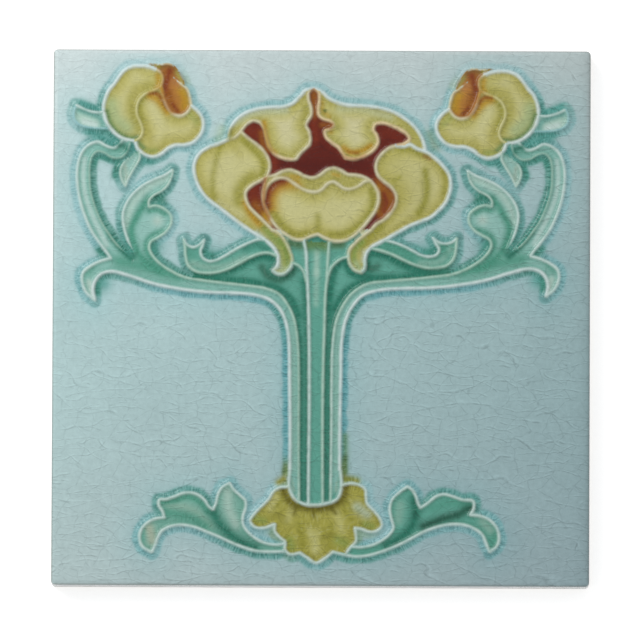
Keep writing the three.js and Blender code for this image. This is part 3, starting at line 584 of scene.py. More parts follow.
# Shared glazes of the fields. thin and deep are the colours over the middle and in the hollow
# along the ribs, high is the colour of a swollen crown, and rim and rim_reach say how strong and
# how wide the deep colour is.
PETAL = {
    "rise": PETAL_RISE, "thin": "straw", "deep": "olive", "high": "pale_straw", "rim": 0.8,
    "rim_reach": 2.0,
}
SEA_LEAF = {
    "rise": LEAF_RISE, "thin": "sea", "deep": "fern", "rim": 0.5, "rim_reach": 1.0,
}
STEM = {
    "rise": WEB_RISE, "thin": "sea", "deep": "sea", "rim": 0.5, "rim_reach": 1.0,
}

# Glazed fields in the order that they lie over each other. Each is a closed run of lines, with
# "-" before a line that is followed backwards, and plain points where another field covers it.
FIELDS = [
    {
        "name": "base_leaf", "rise": LEAF_RISE, "thin": "leaf_green", "deep": "fern", "rim": 0.4,
        "rim_reach": 1.0,
        "run": ["base_lower_edge", "-base_curl_edge", "base_lobe", "base_point", "base_upper_edge"],
    },
    {
        **SEA_LEAF, "name": "base_leaf_right", "rim": 0.4,
        "run": [
            "base_lower_right", "-base_curl_right", "base_lobe_right", "base_point_right",
            "base_upper_right",
        ],
    },
    {
        "name": "calyx", "rise": CALYX_RISE, "thin": "old_olive", "deep": "pea", "rim": 0.5,
        "ticks": 0.45, "rim_reach": 1.0,
        "run": ["calyx_left", "calyx_left_low", "calyx_tip", "-calyx_right_low", "-calyx_right"],
    },
    {
        "name": "stem_foot", "rise": LEAF_RISE, "thin": "sea", "deep": "sea", "rim": 0.5,
        "rim_reach": 0.8,
        "run": ["stem_foot"],
    },
    {
        "name": "web", "rise": WEB_RISE, "thin": "lagoon", "deep": "deep", "rim": 0.85,
        "rim_reach": 1.5,
        "run": [[
            (-6.1, -53.2), (-6.2, -44), (-7.4, -42.5), (-7.5, -10), (-8.7, -1.5), (-11.5, 4.4),
            (-17, 7.2), (-27, 8.2), (-36.5, 9.5), (-36.3, 13.3), (-33, 14.2), (-26, 15.6),
            (-18, 19.5), (-13, 20.5), (-8, 30), (4, 30), (14, 21.5), (20, 19.7), (26, 17),
            (33, 15.8), (36, 15.8), (37, 11), (28, 9.6), (15, 8.6), (8.5, 5.2), (5.2, -1.5),
            (4.3, -10), (4.1, -42.5), (3, -44), (2.9, -53.2),
        ]],
    },
    {
        "name": "arm", "both": True, "rise": LEAF_RISE, "thin": "jade", "deep": "sea", "rim": 0.5,
        "rim_reach": 1.2,
        "run": [
            "arm_lower_rib", "-curl_edge", "side_stem_outer", "side_stem_inner", "-leaf_back_edge",
            "-leaf_front_edge", "-arm_upper_rib",
        ],
    },
    {
        **SEA_LEAF, "name": "small_leaf", "deep": "sea",
        "run": ["small_leaf_tip", "small_leaf_upper", "-small_leaf_lower"],
    },
    {
        **SEA_LEAF, "name": "small_leaf_right",
        "run": ["small_leaf_tip_right", "small_leaf_upper_right", "-small_leaf_lower_right"],
    },
    {
        "name": "narrow_leaf", "both": True, "rise": LEAF_RISE, "thin": "jade", "deep": "sage",
        "rim": 0.5, "rim_reach": 0.8,
        "run": ["narrow_leaf_left", "-narrow_leaf_right"],
    },
    {
        "name": "tendril", "both": True, "rise": LEAF_RISE, "thin": "mint", "deep": "jade",
        "rim": 0.5, "rim_reach": 0.8,
        "run": ["tendril_top", "-tendril_edge"],
    },
    {
        **STEM, "name": "middle_flute", "rim_reach": 0.8,
        "run": ["flute_rib_left", "-flute_rib_right"],
    },
    {
        **STEM, "name": "left_throat",
        "run": ["flute_branch_left", [(-4.2, 14.2), (-4.4, 18), (-5, 23), (-10, 24), (-10, 18)]],
    },
    {
        **STEM, "name": "right_throat",
        "run": ["flute_branch_right", [(1.7, 14.2), (1.9, 18), (2.2, 23), (9, 24), (9, 19)]],
    },
    {
        "name": "heart", "rise": HEART_RISE, "thin": "wine", "deep": "brick", "rim": 0.5,
        "rim_reach": 1.0,
        "run": [
            "stalk_right", "heart_right_arm", "right_petal_inner", "-left_petal_inner",
            "-heart_left_low", "-heart_left_arm", "stalk_left",
        ],
    },
    {
        **PETAL, "name": "upper_left_petal", "high": "soft_cream",
        "run": ["upper_left_petal", "upper_left_link", "-heart_left_arm", "stalk_left"],
    },
    {
        **PETAL, "name": "upper_right_petal", "high": "soft_cream",
        "run": ["upper_right_petal", "-heart_right_arm", "-stalk_right"],
    },
    {
        **PETAL, "name": "left_petal",
        "run": [
            "left_petal_outer", "left_petal_hook", "-left_petal_throat", "-left_petal_inner",
            "-heart_left_low", "-upper_left_link",
        ],
    },
    {
        **PETAL, "name": "right_petal",
        "run": ["right_petal_outer", "-right_petal_throat", "-right_petal_inner"],
    },
    {
        **PETAL, "name": "lower_petal",
        "run": ["lower_petal_top", "lower_petal_right", "lower_petal_left"],
    },
    {
        **PETAL, "name": "bud_left", "both": True,
        "run": ["bud_left_edge", "-bud_fold", "-bud_flame_inner"],
    },
    {
        **PETAL, "name": "bud_lower", "both": True,
        "run": ["bud_lower_edge", "bud_lobe_inner", "bud_fold"],
    },
    {
        "name": "bud_flame", "both": True, "rise": PETAL_RISE, "thin": "tawny", "deep": "rust",
        "rim": 0.4, "rim_reach": 1.0,
        "run": ["bud_lobe_outer", "bud_lobe_inner", "-bud_flame_inner", "bud_flame_edge"],
    },
]

# Painted dabs in the fields, on the ground and on the ribs: colour, reach, strength, hollow, the
# line that they follow, and "once" where the right half does not repeat them
DABS = {
    "upper_left_petal": [
        ("pale_olive", 1.4, 0.8, 0, [(-25, 55.5), (-19.1, 58.4), (-10.6, 59)]),
        ("olive", 0.6, 0.5, 0, [(-26.4, 50.4), (-23.6, 53.6), (-19.9, 56.1)]),
        ("amber", 0.9, 0.9, 0.1, [(-16.5, 55.3), (-15.9, 51.3), (-15.1, 48.4), (-13.4, 46.5)]),
        ("rust", 0.5, 0.35, 0, [(-15.6, 49.9), (-14.8, 47.6)]),
        ("pea", 1.1, 0.9, 0, [(-26.2, 51.5)]),
        ("pea", 0.9, 0.4, 0.05, [(-4.9, 59.9), (-4.6, 55.9)]),
        ("pale_straw", 2.5, 0.4, 0, [(-9.1, 50.8)]),
    ],
    "left_petal": [
        ("pea", 1, 0.6, 0.12, [
            (-28.7, 48.7), (-30.1, 44.1), (-30.9, 38.7), (-30.6, 34.4), (-28.3, 31.3),
        ]),
        ("pea", 0.9, 0.75, 0.05, [
            (-22.5, 50.4), (-19.9, 47.9), (-17.3, 45.3), (-16.5, 42.7), (-17, 40.4),
        ]),
        ("pea", 1.6, 0.6, 0.12, [(-19.9, 40.2), (-22.4, 38.1), (-23.8, 35.6), (-23.8, 32.4)]),
        ("olive", 1.5, 0.5, 0, [(-25.6, 49.3), (-23.3, 46.4)]),
        ("pale_straw", 1.2, 0.7, 0, [(-28.9, 32.7), (-27.2, 31.6), (-23.2, 29)]),
        ("amber", 1.1, 0.9, 0.1, [(-21.5, 32.4), (-20.4, 29.9), (-18.7, 27.6), (-16.7, 25.6)]),
        ("lime", 1.1, 0.8, 0.1, [(-16.4, 25.3), (-14.4, 23.3), (-12.4, 20.8)]),
        ("lime", 0.9, 0.95, 0.15, [(-12.1, 22.2), (-10.7, 19.9), (-9.8, 17.4), (-9.5, 14.8)]),
        ("celadon", 1, 0.85, 0, [(-10.1, 13.9), (-11.5, 13.4)]),
        ("lime", 0.9, 0.6, 0, [(-12.1, 19.3), (-11.2, 17.1), (-10.9, 15.4)]),
        ("pale_sage", 0.9, 0.7, 0, [(-18.4, 23.9), (-15.5, 21.3), (-12.9, 18.2), (-12.1, 14.5)]),
        ("pale_straw", 2.2, 0.5, 0, [(-26.1, 43.6), (-26.7, 37.8)]),
    ],
    "heart": [
        ("dark_wine", 2.2, 0.5, 0, [(-10.5, 43.6), (-0.5, 42.8), (10.8, 44.3)]),
        ("brick", 1.2, 0.8, 0, [(-2.3, 57.1), (-2.3, 54.2), (-1.7, 50.8)]),
        ("rust", 1.3, 0.9, 0, [(-2.3, 64.2), (-2.3, 61.1), (-2.3, 57.9)]),
        ("rust", 0.9, 0.7, 0, [(0, 54.8), (2.5, 54.8)]),
        ("brick", 2, 0.7, 0, [(-21.3, 53.3), (-18.5, 52.4)]),
        ("rust", 0.9, 0.8, 0, [(-17.1, 52.4), (-16.8, 49.6), (-15.6, 47.3)]),
        ("brick", 1.3, 0.6, 0, [(-13.6, 44.7), (-13.6, 41.3)]),
        ("brick", 2.2, 0.8, 0, [(-19.8, 36.4), (-19, 33.6)]),
        ("rust", 1.6, 0.9, 0.1, [(-18.7, 31.6), (-16.7, 29.6)]),
        ("amber", 1.2, 0.9, 0, [(-16.1, 28.7), (-15, 26.8)]),
        ("brick", 1.6, 0.4, 0, [(17.9, 52.9), (22.1, 51.5)]),
        ("rust", 1.7, 0.95, 0, [(16.2, 38.3), (18.2, 35.5), (19.1, 32.6), (17.4, 29.2)]),
        ("brick", 0.7, 0.8, 0.1, [(17.7, 35.2), (18.5, 32.6), (17.7, 30.3)]),
        ("amber", 0.6, 0.8, 0, [(15.7, 37.2), (16.3, 33.7), (15.7, 30.3)]),
        ("rust", 0.8, 0.8, 0, [(19.7, 35.5), (20.2, 32.9), (19.1, 30.6)]),
    ],
    "upper_right_petal": [
        ("pale_olive", 1.4, 0.5, 0, [(5.1, 59.4), (12.2, 59.1), (19.3, 57.2)]),
        ("amber", 0.9, 0.95, 0.1, [(6.2, 48.3), (8.2, 47.1), (11.1, 47.4), (13.9, 48.9)]),
        ("rust", 0.5, 0.6, 0, [(7.4, 47.1), (10.2, 46.8)]),
        ("amber", 0.7, 0.5, 0, [(-0.1, 61.4), (0.2, 58.8), (2, 57.1)]),
        ("moss", 0.5, 1, 0.05, [(0.8, 58.8)]),
        ("amber", 0.8, 0.6, 0, [(2.5, 52.8)]),
        ("pea", 1, 0.2, 0, [(23.6, 55.2), (26.4, 51.8), (27.3, 49.5)]),
        ("pale_straw", 2.5, 0.5, 0, [(7.9, 51.7)]),
    ],
    "right_petal": [
        ("olive", 5, 0.45, 0, [(20.2, 43.7), (23.6, 35.2)]),
        ("pea", 1.2, 0.85, 0.12, [(29.3, 41.8), (29.9, 37.2), (29.3, 33.2), (27.6, 29.8)]),
        ("pea", 0.9, 0.6, 0, [(22.2, 47.8), (25.9, 47.5), (29.3, 45.8)]),
        ("umber", 0.6, 0.8, 0, [(29, 46.1), (30.7, 45.2)]),
        ("pea", 0.8, 0.5, 0, [(33.6, 43.5), (35, 39.5), (34.4, 35)]),
        ("pea", 0.6, 0.6, 0, [(20.2, 38.9), (22.2, 40)]),
        ("olive", 1.5, 0.7, 0, [(18.3, 27.5), (16, 24.6)]),
        ("pea", 1.3, 0.8, 0.12, [(16.6, 25.7), (13.7, 22.9), (11.2, 20.3)]),
        ("lime", 1, 0.85, 0.15, [(11.5, 21.4), (9.5, 19.2), (9.2, 16.3)]),
        ("celadon", 1, 0.85, 0, [(9.8, 15.4), (10.7, 14)]),
        ("pale_sage", 0.6, 0.35, 0, [(11.9, 18.9), (11.6, 16)]),
    ],
    "lower_petal": [
        ("amber", 1.9, 0.8, 0, [
            (-14.1, 31), (-13.6, 34.5), (-12.2, 36.5), (-9.1, 37.6), (-7.1, 37.9),
        ]),
        ("rust", 1.2, 0.85, 0, [(-15, 31), (-14.7, 34.5), (-13, 37), (-10.2, 38.5)]),
        ("brick", 0.9, 0.95, 0.1, [
            (-15.8, 31.6), (-15.6, 34.2), (-14.4, 37), (-12.5, 38.5), (-10.8, 39),
        ]),
        ("pea", 1.1, 0.7, 0.08, [(-13.3, 29.3), (-10.4, 25.6), (-7, 23.6), (-4.4, 23.9)]),
        ("pea", 1.1, 0.7, 0.08, [
            (2.4, 23.7), (6.6, 24), (10.3, 26), (13.2, 28.9), (14.6, 32.3), (14, 36),
        ]),
        ("pea", 1.1, 0.6, 0.1, [(-1.1, 28.8), (-1, 26.5), (-1, 24)]),
        ("olive", 1, 0.6, 0.05, [(-5.4, 38.8), (-1.1, 37.7), (3.4, 39.7), (8, 38.3), (11.7, 38.9)]),
        ("amber", 0.5, 0.6, 0, [(-8.5, 40.2), (-6.5, 39.9)]),
        ("amber", 0.5, 0.6, 0, [(3.2, 40.8), (4.9, 40.3)]),
        ("pale_straw", 3, 0.45, 0, [(-8.5, 31.9)]),
        ("pale_straw", 3, 0.45, 0, [(8, 32)]),
    ],
    "bud_left": [
        ("celadon", 2.3, 0.75, 0, [(-59.7, 60.3), (-58.6, 56.5), (-55.7, 53.7)]),
        ("moss_green", 0.8, 0.85, 0.1, [
            (-61.1, 58.5), (-60, 55.1), (-58, 52.6), (-55.1, 50.9), (-52.3, 50.9),
        ]),
        ("pea", 1.2, 0.3, 0.04, [(-54.3, 62.8), (-54.3, 59.7), (-53.5, 56.9), (-52.3, 54.3)]),
        ("olive", 1.8, 0.6, 0, [(-52.9, 65.1), (-49, 65.7)]),
        ("amber", 0.9, 0.8, 0, [(-46.7, 68.9), (-46.4, 66.6), (-47, 64.9)]),
        ("pale_straw", 0.9, 0.4, 0, [(-50.1, 70.6), (-47.3, 70)]),
        ("pale_straw", 1.8, 0.5, 0, [(-52.9, 68.6)]),
    ],
    "bud_lower": [
        ("olive", 1.4, 0.5, 0, [(-50.6, 54), (-48.9, 51.2), (-48.3, 48.9)]),
        ("pea", 1.1, 0.6, 0.08, [(-49.8, 62.6), (-51.5, 60.9), (-51.8, 58.3), (-50.9, 55.7)]),
        ("pale_straw", 1.6, 0.7, 0, [(-48.4, 60.6), (-47.2, 58.3), (-46.1, 55.7)]),
        ("amber", 1.2, 0.85, 0, [(-48.9, 62.9), (-46.7, 61.7), (-44.9, 59.7), (-43.8, 58.3)]),
        ("rust", 0.8, 0.95, 0.06, [(-48.7, 63.7), (-46.7, 63.4), (-45.2, 61.7), (-43.8, 59.5)]),
        ("moss_green", 0.8, 0.8, 0.1, [(-52.3, 49.7), (-50.6, 48)]),
        ("lime", 0.9, 0.5, 0.05, [(-49.4, 47.2), (-47.2, 47.2)]),
        ("lime", 1.1, 0.35, 0, [(-37.6, 57.8), (-35.6, 55.5)]),
        ("pea", 0.8, 0.2, 0.04, [(-44.1, 51.5), (-44.9, 48.9)]),
    ],
    "bud_flame": [
        ("umber", 0.9, 0.85, 0, [(-45.8, 70.9), (-44.4, 71.2), (-42.7, 70.9), (-41.3, 69.5)]),
        # Painted shadow: dark olive down the flame's right edge
        ("olive", 0.9, 0.9, 0, [(-41, 69.7), (-40.2, 68.3), (-39.3, 66.6)]),
        ("pea", 0.6, 0.8, 0, [(-48.7, 71.9), (-47.6, 71.6), (-46.4, 71.3)]),
        ("olive", 0.8, 0.6, 0, [(-39.9, 65.2), (-38.4, 63.2), (-37.8, 60.6)]),
        ("rust", 1.1, 0.6, 0, [(-43.9, 70.3), (-42.4, 70)]),
        ("brick", 1, 0.8, 0.06, [(-43.3, 70), (-43.8, 67.7), (-44.4, 65.5), (-43.8, 63.5)]),
        ("rust", 1.1, 0.8, 0.06, [(-43.5, 63.5), (-42.7, 61.2), (-41.3, 58.6)]),
        ("amber", 1.3, 0.75, 0, [(-40.1, 64.6), (-39, 62.1), (-39, 59.8)]),
        ("tan", 0.9, 0.5, 0, [(-42.1, 67.2), (-40.4, 65.5)]),
        ("brick", 0.5, 0.6, 0, [(-42.4, 60.6), (-41, 58.6)]),
    ],
    "arm": [
        ("deep", 1, 0.85, 0.1, [(-57.7, 48.6), (-56.3, 48.6), (-55.1, 47.4)]),
        ("fern", 2.2, 0.85, 0, [(-57.3, 15.7), (-48.7, 13.8), (-41.6, 11.8)]),
        ("fern", 1.2, 0.35, 0, [(-40.2, 10.9), (-28.8, 10.4)]),
        ("pale_sage", 1.3, 0.6, 0, [
            (-44, 39.5), (-48.3, 37.5), (-51.7, 34.6), (-54.2, 30.6), (-55.3, 26),
        ]),
        ("pale_sage", 1.5, 0.75, 0, [(-46.5, 27.2)]),
        ("fern", 1.3, 0.95, 0.18, [
            (-49.1, 33.5), (-50.8, 31.2), (-52.5, 28.3), (-53.9, 24.9), (-53.3, 21.2),
            (-51.6, 17.5), (-49, 14.9), (-45.3, 12.9),
        ]),
        ("fern", 0.8, 0.8, 0.1, [(-48.8, 30), (-46.5, 30.3), (-44.5, 29.2)]),
        ("fern", 0.9, 0.8, 0.1, [
            (-45.1, 24.3), (-47.9, 23.2), (-49.6, 21.2), (-49.6, 18.6), (-47.6, 15.5),
        ]),
        ("deep", 0.8, 0.9, 0.2, [(-60.4, 23.7), (-58.4, 20.9), (-56.1, 18.3), (-53.9, 16.3)]),
        ("deep", 0.7, 0.8, 0.15, [(-57, 22), (-55.3, 19.4), (-53, 16.9)]),
        ("mist", 0.8, 0.6, 0, [
            (-67.3, 44.8), (-67.6, 39.7), (-67, 34.8), (-65.3, 29.7), (-63, 24.6), (-61, 20.3),
        ]),
        ("fern", 0.8, 0.5, 0, [(-61.4, 48.5), (-59.1, 47.4), (-56.8, 47.1)]),
        ("fern", 1, 0.5, 0.05, [(-64.7, 14), (-66.1, 12)]),
        ("pale_sage", 0.9, 0.8, 0, [(-65.8, 9.7), (-65.2, 7.4), (-64.3, 5.4)]),
        ("sage", 0.8, 0.3, 0, [(-8, -0.6), (-7.7, -23.5), (-7.6, -43.4)]),
    ],
    "narrow_leaf": [
        ("fern", 0.9, 0.8, 0.1, [(-54.3, 46.9), (-52.6, 47.1)]),
        ("fern", 0.7, 0.7, 0, [(-57.4, 43.7), (-57.4, 41.4)]),
        ("pale_buff", 0.7, 0.4, 0, [(-55.7, 42.6), (-55.4, 39.1)]),
    ],
    "tendril": [
        ("teal", 1.2, 0.7, 0.1, [(-68.8, 58.8), (-66, 57.9), (-63.1, 56.5), (-62, 54.5)]),
        ("mist", 1, 0.9, 0, [(-67.4, 55.4), (-64.5, 54.5)]),
    ],
    "small_leaf": [
        ("sage", 1.2, 0.6, 0, [(-36.5, 15.2), (-32.5, 14.1), (-27.4, 14.4), (-21.8, 16.7)]),
        ("fern", 0.9, 0.3, 0.05, [(-37.4, 19.5), (-36.5, 17.2)]),
        ("deep", 1.2, 0.6, 0.12, [(-21.5, 19.6), (-18.4, 20.5), (-15.2, 19.3)]),
    ],
    "small_leaf_right": [
        ("fern", 1.4, 0.6, 0.1, [(18, 20.6), (21.7, 19.5), (25.7, 17.2)]),
        ("sage", 1, 0.5, 0, [(28, 15.5), (33.7, 16.1), (36.5, 19.6)]),
        ("fern", 0.8, 0.5, 0.05, [(34.5, 21), (35.4, 18.1)]),
    ],
    "web": [
        ("sea", 1.7, 0.7, 0, [
            (-24.3, 11.9), (-19.7, 12.7), (-15.8, 9.9), (-10.6, 9.6), (-7.8, 6.2),
        ]),
        ("deep", 1.3, 0.95, 0.1, [
            (-26.6, 13), (-23.2, 14.4), (-19.8, 16.5), (-16.6, 17.3), (-14.4, 16.8),
        ]),
        ("dark_moss", 1.2, 0.7, 0.1, [
            (-16.9, 14.2), (-15.2, 11.6), (-12.1, 10.5), (-8.9, 12.2), (-7.2, 14.2),
        ]),
        ("deep", 1, 0.9, 0.1, [
            (-37.4, 12.1), (-30.3, 11), (-23.1, 10.5), (-16.9, 9.6), (-11.5, 7.9), (-8.1, 4.8),
            (-6.3, 0.5),
        ]),
        ("sea", 1.1, 0.6, 0, [(-6.4, 14.8), (-5.8, 12)]),
        ("deep", 0.9, 0.35, 0.1, [(-5.2, 9.7), (-5.2, 10.8), (-4.7, 6.5), (-4.6, -0.6)]),
        ("sea", 1.6, 0.7, 0, [(6.1, 13.1), (5.8, 8.6)]),
        ("sea", 1.5, 0.6, 0, [(18.9, 13.8), (22.9, 12.6)]),
        ("deep", 1.3, 0.95, 0.1, [
            (13.8, 18.3), (18, 17.8), (22.3, 15.5), (26.6, 13.5), (30.8, 12.4),
        ]),
        ("dark_moss", 1.2, 0.65, 0.1, [(12.6, 16), (14.1, 13.7), (15.8, 14.6)]),
        ("deep", 1, 0.9, 0.1, [(6.7, 16), (7.8, 13.1), (10.4, 11.7), (13.8, 11.7)]),
        ("deep", 1, 0.9, 0.1, [(5.5, 16), (3.6, 12.3), (2.7, 6.6), (2.2, -0.6)]),
        ("deep", 1, 0.9, 0.1, [
            (3.6, 2.3), (6.4, 7.1), (10.4, 9.7), (14.6, 11.2), (22.3, 11.5), (33.7, 12.4),
        ]),
    ],
    "middle_flute": [
        ("mint", 0.9, 0.65, 0, [(-1.3, 18.5), (-1.4, 12.3)]),
        ("mint", 0.9, 0.4, 0, [(-1.3, 13.1), (-1.5, 3.7)]),
        ("moss", 1.5, 1, 0.1, [(-4.2, 21.4), (-2.7, 21.7), (-1, 22), (1.2, 21.1)]),
        ("moss_green", 1.9, 0.95, 0, [(-4.4, 20.5), (-1.3, 20.8), (1.8, 20.3)]),
    ],
    "left_throat": [
        ("moss", 1.5, 0.75, 0.05, [(-8.7, 21.1), (-6.1, 20.5)]),
        ("sage", 0.6, 0.15, 0, [(-5.3, 18.8), (-4.7, 16)]),
    ],
    "right_throat": [
        ("moss", 1.4, 0.75, 0.05, [(3.5, 20.6), (5.8, 20.8)]),
    ],
    "calyx": [
        ("calyx_light", 1.5, 0.6, 0, [(-12.9, -51.2), (-14.1, -53.7)]),
        ("calyx_light", 1.1, 0.5, 0, [(-8.4, -55.1), (-9.2, -57.7)]),
        ("calyx_light", 1.5, 0.6, 0, [(-1.5, -61.7), (-1.5, -66)]),
        ("calyx_light", 1.3, 0.5, 0, [(4.7, -55.7), (6.1, -60.5)]),
        ("pale_sage", 1.5, 0.55, 0, [(10.4, -53.9), (13.2, -55.9)]),
        ("lime", 1.2, 0.6, 0, [(-18.3, -57.2), (-16, -58)]),
        ("lime", 1.3, 0.6, 0, [(-8.6, -63.4), (-8.1, -65.4)]),
        ("lime", 1.5, 0.6, 0, [(5, -63.4), (7, -64.2)]),
        ("lime", 1.1, 0.6, 0, [(12.7, -58.8), (14.7, -59.3)]),
        ("pea", 1, 0.7, 0.05, [(-5.8, -58.8), (-4.9, -64.8)]),
        ("pea", 0.7, 0.3, 0.05, [(-14.3, -56.9), (-11.2, -55.4)]),
        ("pea", 0.7, 0.6, 0.05, [(9, -57.6), (6.4, -54.5)]),
        ("calyx_light", 0.8, 0.4, 0, [(-1.5, -64.8), (-1.2, -66.8)]),
        ("calyx_light", 0.8, 0.5, 0, [(-3.2, -60), (-2.7, -62.3)]),
        ("pea", 0.6, 0.6, 0.05, [(1, -60.5), (0.5, -64)]),
        ("pea", 0.9, 0.6, 0.05, [(3, -58.8), (2.5, -65.4)]),
        ("dark_olive", 1.2, 0.95, 0.1, [
            (-10.7, -48.3), (-9.8, -51.2), (-7.5, -53.1), (-4.1, -54.3), (-0.7, -54.5),
            (3.3, -53.7), (6.4, -51.7), (7.2, -48.2),
        ]),
        ("pea", 0.4, 0.7, 0.05, [(-10.4, -51.2), (-12.4, -53.7)]),
        ("dark_olive", 0.6, 0.8, 0.05, [(-2.1, -54.3), (-1.8, -56.8)]),
        ("dark_olive", 0.6, 0.8, 0.05, [(2.7, -54), (4.4, -55.7)]),
        ("dark_olive", 0.5, 0.7, 0.05, [(-6.7, -53.7), (-7.5, -56)]),
        ("pea", 0.4, 0.6, 0.05, [(7, -51.9), (9.2, -55.9)]),
    ],
    "stem_foot": [
        ("sage", 0.9, 0.8, 0, [(-7.9, -43.4), (-7.6, -49.1)]),
        ("sage", 0.9, 0.8, 0, [(4.4, -43.4), (4.4, -49.1)]),
    ],
    "base_leaf": [
        ("pale_sage", 1.6, 0.6, 0, [(-26.3, -49.8), (-26, -54.4), (-24, -58.9)]),
        ("pale_buff", 1.2, 0.25, 0, [
            (-42.8, -53.9), (-38.5, -54.1), (-34.8, -55.8), (-31.1, -59.2),
        ]),
        ("fern", 0.8, 0.85, 0.1, [
            (-44.8, -52.7), (-41.4, -52.4), (-37.7, -51.3), (-34.3, -52.7), (-32, -55.5),
        ]),
        ("fern", 1.6, 0.75, 0.1, [(-43.3, -55.6), (-39.9, -56.4), (-35.7, -57.5), (-32.5, -59.5)]),
        ("deep", 1.8, 0.95, 0.22, [
            (-30.3, -55.8), (-28.8, -58.4), (-26.3, -61.2), (-22.8, -63.8), (-18.6, -65.7),
        ]),
        ("pale_buff", 1.5, 0.75, 0, [(-48.4, -60.2), (-47.6, -63.6)]),
        ("sea", 0.6, 0.6, 0, [(-50.1, -60.5), (-50.1, -63.3)]),
    ],
    "base_leaf_right": [
        ("sage", 1.5, 0.5, 0, [(22.6, -53.3), (22, -57.6)]),
        ("deep", 1.6, 0.95, 0.22, [
            (26.6, -51.9), (26.9, -56.1), (25.7, -59.6), (22.9, -62.4), (18.9, -64.7),
        ]),
        ("fern", 1.1, 0.5, 0, [(42.5, -53.5), (36.8, -52.7), (31.7, -54.1)]),
        ("ink_green", 1.3, 0.85, 0.22, [
            (43.6, -54.1), (41.3, -54.4), (39.4, -55.8), (36.2, -56.7), (32.8, -57.8),
            (29.1, -59.3),
        ]),
        ("sage", 1.3, 0.6, 0, [(45.9, -57.8), (48.2, -60.3)]),
        ("fern", 0.8, 0.5, 0, [(49.1, -61.8), (48.8, -64)]),
    ],
    "ground": [
        ("straw", 0.9, 0.8, 0, [(12, 25.4), (11.5, 24.3)], "once"),
        # Painted shadow: faint dark olive on the ground beside the flame's right edge
        ("dark_olive", 0.5, 0.2, 0, [(-39.9, 68.9), (-39, 67.5)]),
        ("pool_green", 2.6, 0.6, 0, [(-46.5, 33.8)]),
        ("deep", 1.3, 0.7, 0.1, [(-47.4, 34), (-46.3, 34.3), (-45.1, 33.2)]),
        ("teal", 2.8, 0.6, 0, [(-47.1, 20.1)]),
        ("pool_green", 1.5, 0.95, 0.1, [(-48.2, 21.2), (-47.6, 18.9)]),
        ("teal", 2.4, 0.55, 0, [(-32.6, 18.7), (-29.4, 17.8)]),
        ("pool_green", 1, 0.95, 0.1, [(-33.4, 18.4), (-31.1, 17.6)]),
        ("teal", 2.4, 0.8, 0, [(-61.8, 9.4)]),
        ("pool_green", 1.1, 0.95, 0.1, [(-63.5, 9.4), (-63.5, 6.6)]),
        ("pool_green", 1.2, 0.95, 0.1, [(-61.5, 17.4), (-63, 18.8)]),
        ("pool_green", 1, 0.9, 0.1, [(-58, 44.8), (-58.2, 42.6), (-58.8, 40)]),
        ("pool_green", 0.9, 0.9, 0.1, [(-64.5, 43.1), (-63.6, 45.1), (-60.2, 44.8)]),
        ("ink_green", 1, 0.95, 0.1, [(-56.6, 48.8), (-55.7, 47.7)]),
        ("teal", 1.4, 0.9, 0.1, [(-54, 48.6), (-52.6, 46)]),
        ("teal", 1.3, 0.8, 0.1, [(-51.4, 44.3), (-48.6, 44)]),
        ("teal", 1.7, 0.85, 0.1, [(-65.9, 52.5), (-62, 51.1), (-58.5, 49.4)]),
        ("teal", 1.1, 0.8, 0.1, [(-68.3, 61.1), (-65.4, 59.9), (-63.1, 58.5), (-61.7, 55.1)]),
        ("moss", 0.9, 0.6, 0.05, [(-10.1, -42.3), (-10.4, -45.2)], "once"),
        ("pea", 1.1, 0.9, 0.02, [(-10.4, -46), (-11.8, -46.9)], "once"),
        ("moss_green", 1, 0.7, 0.05, [(6.9, -33.7), (7, -39.1), (6.9, -43.9)], "once"),
        ("moss", 0.8, 0.6, 0.05, [(6.9, -39.9), (6.9, -44.8)], "once"),
        ("pea", 1.1, 0.9, 0.02, [(6.9, -45.9), (8.6, -46.1), (10.3, -46.5)], "once"),
        ("moss", 0.7, 0.45, 0.02, [(6.9, -45.7), (8.9, -45.9)], "once"),
        ("moss_green", 1.8, 0.5, 0, [(30.7, 52.1), (32.1, 48.9)], "once"),
        ("celadon", 1.6, 0.4, 0, [(-28.4, 53.5), (-29.3, 50.7)], "once"),
    ],
    "ribs": [
        ("deep", 1.1, 0.9, 0, [(-57.4, 48.8), (-55.7, 47.7)]),
        ("cream", 0.7, 0.9, 0, [(-47, 71.8), (-44.4, 72), (-43, 71.9)]),
        ("mint", 1.1, 0.6, 0, [(-13.5, 13.1), (-11.2, 12.2), (-9.5, 13.1), (-8.4, 15.9)], "once"),
        ("mint", 1.2, 0.6, 0, [
            (7.5, 17.7), (7.8, 15.7), (9.5, 13.4), (11.2, 12.9), (12.2, 15.2),
        ], "once"),
        ("caramel", 0.7, 0.7, 0, [(-42.1, 68), (-41.6, 67.5)]),
        ("amber", 0.9, 0.8, 0, [
            (-16.5, 55.3), (-15.9, 51.3), (-15.1, 48.4), (-13.4, 46.5),
        ], "once"),
        ("pea", 1.1, 0.85, 0, [(-26.4, 51.3), (-25.3, 53)], "once"),
        ("amber", 0.8, 0.6, 0, [(6.3, 47.7), (8.2, 46.5), (11.1, 46.8)], "once"),
        ("rust", 1, 0.9, 0, [(-0.3, 54.8), (2.5, 54.5)], "once"),
        ("brick", 0.9, 0.6, 0, [(-2.6, 64.5), (-2.3, 62.2)], "once"),
        ("amber", 0.9, 0.7, 0, [(-48.7, 63.7), (-46.7, 63.4), (-45.2, 62.3)]),
        ("rust", 0.9, 0.55, 0, [(19.7, 35.5), (20.2, 32.9), (19.1, 30.6)], "once"),
        ("caramel", 0.7, 0.5, 0, [(-45.3, 69.2), (-45.5, 66.6)]),
        ("tawny", 1.1, 0.95, 0, [(-45.7, 64.9), (-44.4, 62.6), (-43.5, 60.3), (-42.5, 58.6)]),
        ("amber", 0.8, 0.6, 0, [(-45.3, 69.4), (-45.8, 66.6), (-45.3, 64.3)]),
